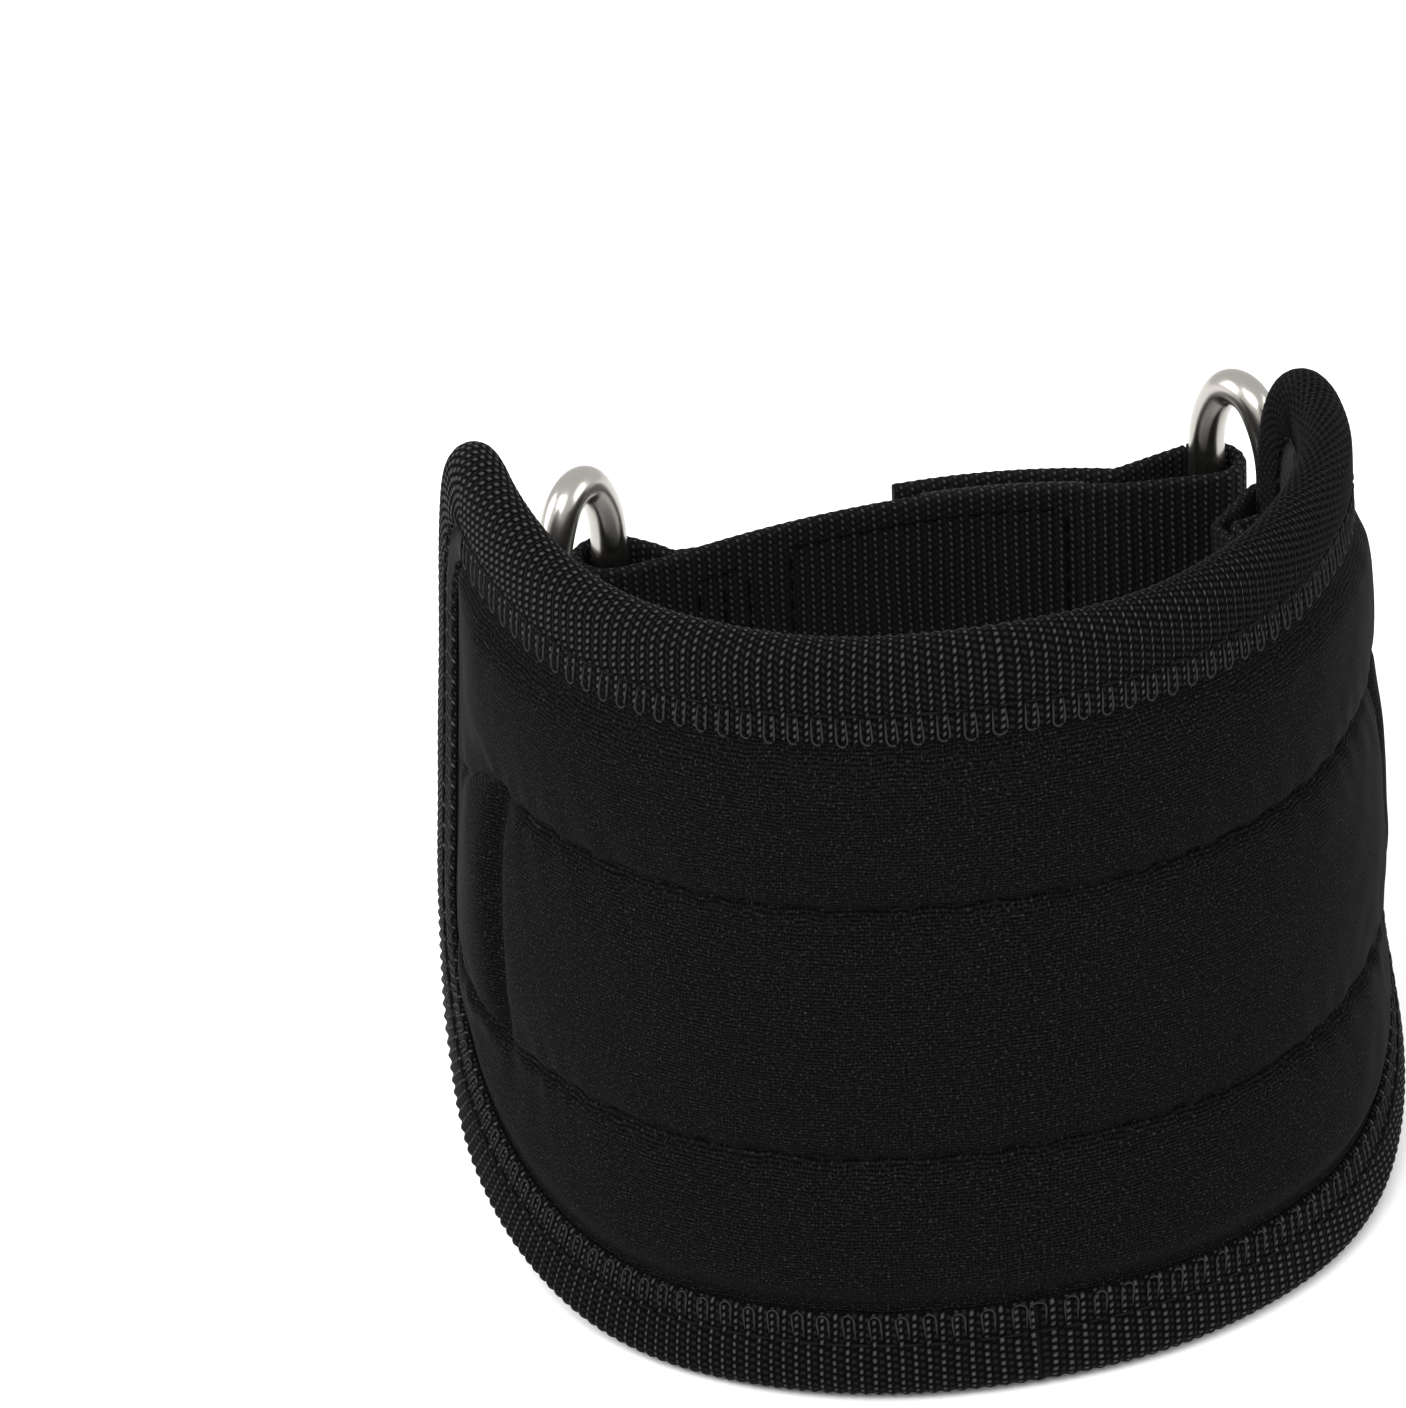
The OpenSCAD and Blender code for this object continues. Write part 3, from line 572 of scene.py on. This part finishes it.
detail = 1.0
cover = sheet_object("knit_cover", int(420 * detail), int(210 * detail), cover_out, COVER_T, COVER_MAT,
                     outward=True)
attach(cover, "cuff")
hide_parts("outer_cover")
lining = sheet_object("lining", int(240 * detail), int(120 * detail), lining_in, LINING_T, LINING_MAT,
                      outward=False)
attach(lining, "cuff")
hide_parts("inner_lining")

# ---- Edge binding: one woven tape, folded over the edge all round

def outline_line(step):
    """The wall's flat outline as evenly spaced points, anticlockwise from the bottom's middle."""
    a = np.linspace(0, math.pi / 2, 120)
    low = np.stack([HALF_L - BOT_C[0] + BOT_C[0] * np.sin(a), BOT_C[1] - BOT_C[1] * np.cos(a)], 1)
    high = np.stack([HALF_L - TOP_C[0] + TOP_C[0] * np.sin(a), CUFF_H - TOP_C[1] + TOP_C[1] * np.cos(a)], 1)
    right = np.concatenate([[[0, 0]], low, high[::-1], [[0, CUFF_H]]])
    left = right[::-1] * [-1, 1]
    p = np.concatenate([right, left[1:]])
    d = np.concatenate([[0], np.cumsum(np.linalg.norm(np.diff(p, axis=0), axis=1))])
    n = int(round(d[-1] / step))
    q = np.arange(n) * d[-1] / n
    p = np.stack([np.interp(q, d, p[:, 0]), np.interp(q, d, p[:, 1])], 1)
    way = np.roll(p, -3, 0) - np.roll(p, 3, 0)
    for _ in range(6):
        way = (np.roll(way, 1, 0) + way + np.roll(way, -1, 0)) / 3
    way /= np.linalg.norm(way, axis=1)[:, None]
    return p, np.stack([-way[:, 1], way[:, 0]], 1), d[-1], q


edge_pts, edge_in, edge_len, edge_u = outline_line(RIB / 6)
RIB_FIT = edge_len / round(edge_len / RIB)


def rim_points(b, n):
    """Points b inside the outline and n out of the wall; b and n are arrays over the outline's points."""
    q = edge_pts + edge_in * b[..., None]
    return wall(q[..., 0], np.maximum(q[..., 1], 0.02), n)


def tape_profile():
    """(b, n, length along the section) from the outer selvedge, round the nose, to the inner one."""
    flat = np.linspace(BIND_W, BIND_HALF, 20)[:-1]
    outer = np.full(len(flat), BIND_HALF)
    a = np.linspace(0, math.pi, 22)
    b = np.concatenate([flat, BIND_HALF - BIND_HALF * np.sin(a), flat[::-1]])
    n = np.concatenate([outer, BIND_HALF * np.cos(a), -outer])
    d = np.concatenate([[0], np.cumsum(np.hypot(np.diff(b), np.diff(n)))])
    return b, n, d


# The tape's relief. An AT is a distance in from the edge, where the ladder, selvedge or sewn dip lies.
RIB_DEEP, TAPE_ROLL, TAPE_IN = 0.30, 0.10, 0.05
LADDER_AT, LADDER_DEEP, SELVEDGE_AT, SELVEDGE_DEEP, STEP_RUN = 7.6, 0.28, 11.0, 0.35, 0.5
SEWN_AT, SEWN_DEEP, SEWN_HALF = 7.8, 0.25, 0.5
BULGE, BULGE_FROM, BULGE_RUN = 0.11, 1.0, 7.0
ribs = np.cos(math.pi * edge_u / RIB_FIT) ** 2


def tape_points(b0, n0, d0):
    """The tape's surface along the whole edge for one point of its section."""
    side = 1.0 if n0 >= 0 else -1.0
    face = min(1.0, abs(n0) / BIND_HALF)
    roll = TAPE_ROLL * waves(edge_u, np.full_like(edge_u, d0), 21, 6, 14, 40)
    ladder = ease((b0 - LADDER_AT) / STEP_RUN)
    height = -RIB_DEEP * (1 - ribs) * (1 - 0.7 * ladder) - LADDER_DEEP * ladder + roll * (1 - 0.6 * face)
    selvedge_dip = SELVEDGE_DEEP * ease((b0 - SELVEDGE_AT) / STEP_RUN)
    sewn_dip = SEWN_DEEP * math.exp(-((b0 - SEWN_AT) / SEWN_HALF) ** 2)
    bulge = BULGE * math.sin(math.pi * min(1, max(0, (b0 - BULGE_FROM) / BULGE_RUN)))
    n = n0 + side * face * (height - selvedge_dip - sewn_dip - TAPE_IN + bulge)
    return rim_points(b0 - (1 - face) * height, n)


skin, skin_uv = [], []
for b0, n0, d0 in zip(*tape_profile()):
    skin.append(tape_points(b0, n0, d0))
    skin_uv.append(np.stack([edge_u * RIB / RIB_FIT, np.full_like(edge_u, d0)], 1))
for b0, n0 in ((BIND_W, -SLOT_HALF), (BIND_T + 1.0, -SLOT_HALF * 0.8), (BIND_T, 0.0),
               (BIND_T + 1.0, SLOT_HALF * 0.8), (BIND_W, SLOT_HALF)):
    skin.append(rim_points(np.full_like(edge_u, b0), np.full_like(edge_u, n0)))
    skin_uv.append(np.stack([edge_u, np.full_like(edge_u, b0)], 1))
V = np.stack(skin, axis=1)
UV = np.stack(skin_uv, axis=1)
nu, nv = V.shape[:2]
binding = mesh_object("edge_binding_tape", V.reshape(-1, 3), grid_faces(nu, nv, True, True),
                      UV.reshape(-1, 2), TAPE_MAT)
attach(binding, "cuff")
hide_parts("edge_binding")


def along(u, b, n):
    """Points on the bound edge at distance u along it; u, b and n are arrays."""
    x, y, in_x, in_y = (np.interp(u % edge_len, edge_u, values) for values in (*edge_pts.T, *edge_in.T))
    return wall(x + in_x * b, y + in_y * b, n)


THREAD_R, CHANNEL_THREAD_R, LOOP_THREAD_R = 0.17, 0.16, 0.125
# Each kind of stitch: its length and the gap after it
BIND_STITCH, CHANNEL_STITCH, WEB_STITCH = (2.3, 0.65), (2.1, 0.9), (2.2, 0.6)
BIND_SEWN_AT = 7.85

# Selvedge loops: a U of thread over every two ribs, from the ladder to the selvedge
LOOP_START, LOOP_END, LOOP_BEND, LOOP_LEG_END = 8.3, 11.55, 0.75, 1.6
pair = 2 * RIB_FIT


def selvedge_loop(i, side):
    half = RIB_FIT / 2
    end = LOOP_END + 0.12 * math.sin(i * 2.4)
    a = np.linspace(-math.pi / 2, math.pi / 2, 7)
    du = np.concatenate([[-half * 0.8, -half * 0.86], half * 0.9 * np.sin(a), [half * 0.86, half * 0.8]])
    bend = end - LOOP_BEND + LOOP_BEND * np.cos(a)
    b = np.concatenate([[LOOP_START, end - LOOP_LEG_END], bend, [end - LOOP_LEG_END, LOOP_START]])
    lean = 0.22 * math.sin(i * pair / 9.0)
    du = du + lean * (b - LOOP_START) / 3
    n = np.full_like(b, side * (BIND_HALF - 0.16))
    n[[0, -1]] -= side * 0.25
    return along(i * pair + du, b, n)


loops = [selvedge_loop(i, side) for side in (1, -1) for i in range(int(round(edge_len / pair)))]
selvedge = tubes("selvedge_loops", loops, LOOP_THREAD_R, LOOP_THREAD_MAT)
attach(selvedge, "cuff")

rows = []
for side in (1, -1):
    u = np.linspace(0, edge_len * 0.9995, 3000)
    line = along(u, np.full_like(u, BIND_SEWN_AT), np.full_like(u, side * (BIND_HALF - 0.12)))
    rows += stitches(line, *BIND_STITCH)
edge_thread = tubes("binding_thread", rows, THREAD_R, THREAD_MAT)
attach(edge_thread, "cuff")
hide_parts("binding_stitching")

# ---- Threads of the two sewn channel lines, outside and inside

for name, node, k in (("channel_thread_upper", "channel_stitching_upper", 1),
                      ("channel_thread_lower", "channel_stitching_lower", 0)):
    s = np.linspace(-(HALF_L - PAD_EDGE), HALF_L - PAD_EDGE, 900)
    z = seam_z(k, s)
    outer = wall(s, z, cover_out(s, z) + 0.08)
    inner = wall(s, z, lining_in(s, z) - 0.05)
    rows = stitches(outer, *CHANNEL_STITCH) + stitches(inner, *CHANNEL_STITCH)
    ob = tubes(name, rows, CHANNEL_THREAD_R, THREAD_MAT)
    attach(ob, "cuff")
    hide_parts(node)

# ---- Webbing

def turn_way(a):
    """The direction at an angle in degrees, seen from above."""
    return np.array([math.cos(math.radians(a)), math.sin(math.radians(a))])


WEB_W, STRAP_T, TAB_T, STRAP_Z, TAIL_L, PATCH_T = 38.0, 1.7, 1.4, 46.0, 38.0, 0.8
WIRE_R, LEG_GAP, LEG_L, RING_Z = 2.2, 12.0, 39.0, 47.5
Z0, Z1 = STRAP_Z - WEB_W / 2, STRAP_Z + WEB_W / 2
LEFT_LEG = np.array([-28.4, 28.7 + PLAN_Y])
RIGHT_LEG = np.array([46.0, 30 + PLAN_Y])
LEFT_TURN, RIGHT_TURN = 45, 117
LEFT_TAB = LEFT_LEG - LEG_GAP * turn_way(LEFT_TURN)
RIGHT_TAB = RIGHT_LEG - LEG_GAP * turn_way(RIGHT_TURN)
PEAK = (12.0, 31.0 + PLAN_Y)
LEFT_BEND, RIGHT_BEND = 0.0048, 0.0085
STRAP_R = 3.2 + STRAP_T / 2
ANCHOR_X, FOLD_X, ANCHOR_END = -21.0, 34.0, -10.0
PATCH_GAP = 0.4
TAIL_GAP = STRAP_T + 2 * PATCH_T + PATCH_GAP
LAYER = STRAP_T + GAP
TAIL_END = RIGHT_LEG[0] - TAIL_L


def run_at(x, k):
    """The point at x on the strap's run across the back, k further out."""
    bend = LEFT_BEND if x < PEAK[0] else RIGHT_BEND
    slope = -2 * bend * (x - PEAK[0])
    w = math.hypot(1, slope)
    return np.array([x - slope / w * k, PEAK[1] - bend * (x - PEAK[0]) ** 2 + k / w])


def run_pts(a, b, k):
    n = math.ceil(abs(b - a) / 4.0)
    return [run_at(a + (b - a) * i / n, k) for i in range(n + 1)]


def loop_path(c, r, meet, g):
    """Round a leg at c with radius r, from and to the run at meet, where the two layers are g apart."""
    d = c - meet
    length = math.hypot(*d)
    way = math.atan2(d[1], d[0])
    more = math.asin((r - g / 2) / length)
    side = np.array([-math.sin(way), math.cos(way)])
    arc = [c + r * np.array([math.cos(t), math.sin(t)])
           for t in np.linspace(way - math.pi / 2 - more, way + math.pi / 2 + more, 15)]
    return [meet - side * g / 2] + arc + [meet + side * g / 2]


def smooth_path(p, step, soften):
    """The same path in even steps, with its corners eased."""
    p = np.asarray(p, dtype=float)
    d = np.concatenate([[0], np.cumsum(np.linalg.norm(np.diff(p, axis=0), axis=1))])
    n = max(8, int(round(d[-1] / step)))
    q = np.linspace(0, d[-1], n + 1)
    p = np.stack([np.interp(q, d, p[:, 0]), np.interp(q, d, p[:, 1])], 1)
    half = int(round(soften / step))
    if half:
        w = np.exp(-np.linspace(-2, 2, 2 * half + 1) ** 2)
        w /= w.sum()
        head, tail = 2 * p[0] - p[half:0:-1], 2 * p[-1] - p[-2:-half - 2:-1]
        e = np.concatenate([head, p, tail])
        p = np.stack([np.convolve(e[:, 0], w, "valid"), np.convolve(e[:, 1], w, "valid")], 1)
    return p, d[-1]


def path_normals(p):
    """Unit normals of a path, to the left of its way."""
    w = np.gradient(p, axis=0)
    w /= np.linalg.norm(w, axis=1)[:, None] + 1e-9
    return np.stack([-w[:, 1], w[:, 0]], 1)


WEB_RIB, EDGE_RIB = 0.14, 0.10           # how deep the ribs cut into the webbing's face and edge
DROP_TO, DROP_RUN = 14.0, 8.0            # a dropped start has risen again this far along


def ribbon(name, low, high, t, z0, z1, mat, rib=WEB_RIB, soften=1.6, drop=0.0, rough=0.0):
    """Webbing that follows one path at its lower edge and another at its upper edge."""
    step = RIB / 6
    a, length = smooth_path(low, step, soften)
    b, _ = smooth_path(high, length / (len(a) - 1), soften)
    m = min(len(a), len(b))
    a, b = a[np.linspace(0, len(a) - 1, m).astype(int)], b[np.linspace(0, len(b) - 1, m).astype(int)]
    na, nb = path_normals(a), path_normals(b)
    u = np.linspace(0, length, m)
    r = t / 2
    # The section: up one face, over the rounded top edge, down the other and under the bottom edge
    up = z0 + r + (z1 - z0 - 2 * r) * np.linspace(0, 1, 42)
    cap = np.linspace(0, math.pi, 7)[1:-1]
    zz = np.concatenate([up, z1 - r + r * np.sin(cap), up[::-1], z0 + r - r * np.sin(cap)])
    off = np.concatenate([np.full(len(up), -1.0), -np.cos(cap), np.full(len(up), 1.0), np.cos(cap)])
    f = ((zz - z0) / (z1 - z0))[None, :, None]
    mid = a[:, None, :] * (1 - f) + b[:, None, :] * f
    nor = na[:, None, :] * (1 - f) + nb[:, None, :] * f
    valley = 1 - np.cos(math.pi * u / RIB) ** 2
    depth = r * off[None, :] - np.sign(off)[None, :] * rib * valley[:, None] * np.abs(off)[None, :]
    if rough:
        there = zz[None, :] + 40 * (off[None, :] > 0)
        fuzz = waves(np.repeat(u[:, None], len(zz), 1), there, 14, 24, 0.9, 2.6)
        depth = depth + np.sign(off)[None, :] * rough * (fuzz - 1.5)
    xy = mid + nor * depth[..., None]
    edge = EDGE_RIB * rib / WEB_RIB * valley[:, None] * (1 - np.abs(off))[None, :]
    edge = edge * np.sign(zz - STRAP_Z)[None, :] + drop * ease((DROP_TO - u) / DROP_RUN)[:, None]
    V = np.concatenate([xy, (np.broadcast_to(zz, depth.shape) - edge)[..., None]], axis=2)
    ring_len = np.concatenate([[0], np.cumsum(np.hypot(np.diff(zz), np.diff(off) * r))])
    UV = np.stack(np.broadcast_arrays(u[:, None], ring_len[None, :]), axis=-1)
    nv = V.shape[1]
    faces = grid_faces(m, nv, False, True).tolist()
    faces += [tuple(range(nv)), tuple(range((m - 1) * nv, m * nv))[::-1]]
    me = bpy.data.meshes.new(name)
    me.from_pydata((V.reshape(-1, 3) * 0.001).tolist(), [], faces)
    set_uvs(me, UV.reshape(-1, 2))
    me.polygons.foreach_set("use_smooth", [True] * (len(faces) - 2) + [False, False])
    me.materials.append(mat)
    return add_object(name, me)


anchor_loop = loop_path(LEFT_LEG, STRAP_R, run_at(ANCHOR_X, LAYER / 2), LAYER)
fold_loop = loop_path(RIGHT_LEG, STRAP_R, run_at(FOLD_X, TAIL_GAP / 2), TAIL_GAP)
strap_path = (run_pts(ANCHOR_END, ANCHOR_X + 2, LAYER) + anchor_loop
              + run_pts(ANCHOR_X + 2, FOLD_X - 2, 0) + fold_loop[:-1])
tail_start = fold_loop[-2]
tail_path = [tail_start + (fold_loop[-1] - tail_start) * 0.06, fold_loop[-1]]
tail_path += run_pts(FOLD_X - 2, TAIL_END, TAIL_GAP)
strap = ribbon("strap_webbing", strap_path, strap_path, STRAP_T, Z0, Z1, WEB_MAT, drop=1.2)
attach(strap, "cuff")
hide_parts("strap")
tail = ribbon("tail_webbing", tail_path, tail_path, STRAP_T, Z0, Z1, WEB_MAT)
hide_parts("strap_tail")
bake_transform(tail)

patch_x = (TAIL_END + 3, FOLD_X - 4)
PZ0, PZ1 = STRAP_Z - (WEB_W - 2) / 2, STRAP_Z + (WEB_W - 2) / 2
loop_x0 = ANCHOR_END + 1.5
loop_path_pts = run_pts(loop_x0, patch_x[1], STRAP_T / 2 + GAP + PATCH_T / 2)
pile = ribbon("loop_patch_pile", loop_path_pts, loop_path_pts, PATCH_T, PZ0, PZ1, PILE_MAT,
              rib=0.0, rough=0.07)
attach(pile, "cuff")
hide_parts("loop_patch")
hook_pts = run_pts(patch_x[0], patch_x[1], TAIL_GAP - STRAP_T / 2 - GAP - PATCH_T / 2)
hook = ribbon("hook_patch_tape", hook_pts, hook_pts, PATCH_T, PZ0, PZ1, HOOK_MAT, rib=0.0)
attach(hook, "tail")
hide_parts("hook_patch")


def sewn_box(x0, x1, z0, z1, k, middle=False):
    """Rows of stitches round a box on the strap's run, and up its middle where asked."""
    out = []
    for z in (z0, z1):
        line = [(*run_at(x, k), z) for x in np.linspace(x0, x1, 30)]
        out += stitches(line, *WEB_STITCH)
    for x in ((x0, x1, (x0 + x1) / 2) if middle else (x0, x1)):
        line = [(*run_at(x, k), z) for z in np.linspace(z0 + 0.6, z1 - 0.6, 30)]
        out += stitches(line, *WEB_STITCH)
    return out


out = []
THREAD_OUT = STRAP_T / 2 + 0.02      # from the middle of the webbing to its thread
for k in (-THREAD_OUT, LAYER + THREAD_OUT):
    out += sewn_box(ANCHOR_X + 2.5, ANCHOR_END - 2, Z0 + 4, Z1 - 4, k, middle=True)
ob = tubes("strap_anchor_thread", out, THREAD_R, WEB_THREAD_MAT)
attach(ob, "cuff")
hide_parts("strap_anchor_stitching")
out = sewn_box(loop_x0 + 2, patch_x[1] - 2, PZ0 + 2, PZ1 - 2, -THREAD_OUT)
ob = tubes("loop_patch_thread", out, THREAD_R, WEB_THREAD_MAT)
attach(ob, "cuff")
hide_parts("loop_patch_stitching")
out = sewn_box(patch_x[0] + 2, patch_x[1] - 2, PZ0 + 2, PZ1 - 2, TAIL_GAP + THREAD_OUT)
ob = tubes("hook_patch_thread", out, THREAD_R, WEB_THREAD_MAT)
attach(ob, "tail")
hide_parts("hook_patch_stitching")

# ---- Tabs

TAB_R = WIRE_R + 0.4 + TAB_T / 2
TAB_FREE, TAB_REACH, TAB_LIFT, TAB_LAYER = 8.0, 30.0, 0.15, TAB_T + 0.12
TAB_ROWS = (28.0, 14.0)      # a tab's two rows of thread, in from the wall's end


def tab_lay(side, z, layer):
    """Where a tab's layer lies on the wall's inner face, seen from above."""
    s = side * (HALF_L - TAB_REACH + (TAB_REACH - TAB_FREE) * np.arange(7) / 6)
    n = -BIND_HALF - TAB_LIFT - TAB_T / 2 - layer * TAB_LAYER
    return wall(s, level(s, np.full(7, z)), np.full(7, n))[:, :2]


def round_leg(c, r, start, end, way):
    """The arc round a leg between the tangents from two points, to the left where way is 1."""
    a, b = start - c, end - c
    t0 = math.atan2(a[1], a[0]) + way * math.acos(r / np.linalg.norm(a))
    t1 = math.atan2(b[1], b[0]) - way * math.acos(r / np.linalg.norm(b))
    sweep = (way * (t1 - t0)) % TAU
    turns = [t0 + way * sweep * i / 14 for i in range(15)]
    return [c + r * np.array([math.cos(turn), math.sin(turn)]) for turn in turns]


def tab_path(side, leg, turns, z):
    """Along the wall, round the ring's leg between two turning points, and back over itself."""
    near, far = np.array(turns[0]), np.array(turns[1])
    loop = [near] + round_leg(leg, TAB_R, near, far, side) + [far]
    return list(tab_lay(side, z, 0)) + loop + list(tab_lay(side, z, 1)[::-1])


for side, leg, turns, name in (
        (-1, LEFT_TAB, ((-43.6, 15 + PLAN_Y), (-41.8, 13.8 + PLAN_Y)), "left"),
        (1, RIGHT_TAB, ((44.9, 14.1 + PLAN_Y), (42.7, 14.5 + PLAN_Y)), "right")):
    low, high = tab_path(side, leg, turns, Z0), tab_path(side, leg, turns, Z1)
    ob = ribbon("ring_tab_webbing_" + name, low, high, TAB_T, Z0, Z1, WEB_MAT, soften=1.0)
    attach(ob, "cuff")
    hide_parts("ring_tab_" + name)
    rows = []
    for back in TAB_ROWS:
        z = np.linspace(Z0 + 3, Z1 - 3, 30)
        s = np.full_like(z, side * (HALF_L - back))
        line = wall(s, level(s, z), np.full_like(z, -BIND_HALF - TAB_LIFT - TAB_T - TAB_LAYER))
        rows += stitches(line, *WEB_STITCH)
    ob = tubes("tab_thread_" + name, rows, THREAD_R, WEB_THREAD_MAT)
    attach(ob, "cuff")
    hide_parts("tab_stitching_" + name)

# ---- Rings: polished wire ovals

TIP_R, SIDE_R, WIRE_SIDES = 4.0, 14.0, 36
SIDE_X = SIDE_R - LEG_GAP / 2
TIP_Y = math.sqrt((SIDE_R - TIP_R) ** 2 - SIDE_X ** 2)


def arc_pts(x, y, r, turns):
    return [(x + r * math.cos(t), y + r * math.sin(t)) for t in turns]


def oval_line():
    """The wire's centre line: x across the ring, y up it."""
    turn = math.atan2(TIP_Y, SIDE_X)
    side = arc_pts(-SIDE_X, LEG_L / 2, SIDE_R, np.linspace(0, turn, 18))
    tip = arc_pts(0, LEG_L / 2 + TIP_Y, TIP_R, np.linspace(turn, math.pi - turn, 26)[1:-1])
    top = side + tip + [(-x, y) for x, y in side[::-1]]
    leg = [(top[-1][0], LEG_L / 2 - LEG_L * i / 12) for i in range(1, 12)]
    half = top + leg
    return np.array(half + [(-x, -y) for x, y in half])


def wire_skin(leg, turn):
    """The wire's surface for a ring whose tab leg stands there, turned by that many degrees."""
    p = oval_line()
    w = np.roll(p, -1, 0) - np.roll(p, 1, 0)
    w /= np.linalg.norm(w, axis=1)[:, None]
    out = np.stack([w[:, 1], -w[:, 0]], 1)
    ang = np.arange(WIRE_SIDES) * TAU / WIRE_SIDES
    flat = p[:, None, :] + WIRE_R * np.cos(ang)[None, :, None] * out[:, None, :]
    deep = np.broadcast_to(WIRE_R * np.sin(ang)[None, :], flat.shape[:2])
    c, s = turn_way(turn)
    x = flat[..., 0] + LEG_GAP / 2
    return np.stack([leg[0] + x * c - deep * s, leg[1] + x * s + deep * c, RING_Z + flat[..., 1]], -1)


for node, leg, turn in (("ring_left", LEFT_TAB, LEFT_TURN), ("ring_right", RIGHT_TAB, RIGHT_TURN)):
    V = wire_skin(leg, turn)
    ob = mesh_object(node + "_wire", V.reshape(-1, 3), grid_faces(len(V), WIRE_SIDES, True, True), None,
                     NICKEL_MAT)
    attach(ob, "left_ring" if node == "ring_left" else "right_ring")
    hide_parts(node)

# ---- The sealed pieces inside keep their CAD solids

inner_mats = {"foam_pad": FOAM_MAT}
for where in ("upper", "middle", "lower"):
    inner_mats["sand_pouch_" + where] = POUCH_MAT
    inner_mats["iron_sand_" + where] = SAND_MAT
for node, mat in inner_mats.items():
    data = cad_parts[node].data
    data.materials.clear()
    data.materials.append(mat)

# ---- Floor, light and backdrop

me = bpy.data.meshes.new("floor")
me.from_pydata([(-3, -3, 0), (3, -3, 0), (3, 3, 0), (-3, 3, 0)], [], [(0, 1, 2, 3)])
floor = bpy.data.objects.new("floor", me)
bpy.context.scene.collection.objects.link(floor)
me.materials.append(nodes_of("floor_paper", (0.93, 0.93, 0.93), 0.9)[0])
floor.location.z = -0.0002

world = bpy.data.worlds.new("studio")
bpy.context.scene.world = world
world.use_nodes = True
world.node_tree.nodes["Background"].inputs["Color"].default_value = (1, 1, 1, 1)
world.node_tree.nodes["Background"].inputs["Strength"].default_value = 0.95


def softbox(name, loc, aim, size, power):
    """A rectangular light at loc that faces aim."""
    d = bpy.data.lights.new(name, "AREA")
    d.shape = "RECTANGLE"
    d.size, d.size_y = size
    d.energy = power
    o = bpy.data.objects.new(name, d)
    o.location = loc
    o.rotation_euler = (Vector(aim) - Vector(loc)).to_track_quat("-Z", "Y").to_euler()
    bpy.context.scene.collection.objects.link(o)


softbox("key", (-0.35, -0.5, 0.85), (0, 0, 0.05), (0.7, 0.5), 9.0)
softbox("fill", (0.9, -0.35, 0.55), (0, 0, 0.05), (0.6, 0.6), 4.0)
softbox("rim_left", (-0.9, 0.25, 0.5), (0, 0, 0.05), (0.5, 0.6), 5.0)
bpy.context.scene.view_settings.view_transform = "Standard"
bpy.context.scene.view_settings.look = "None"
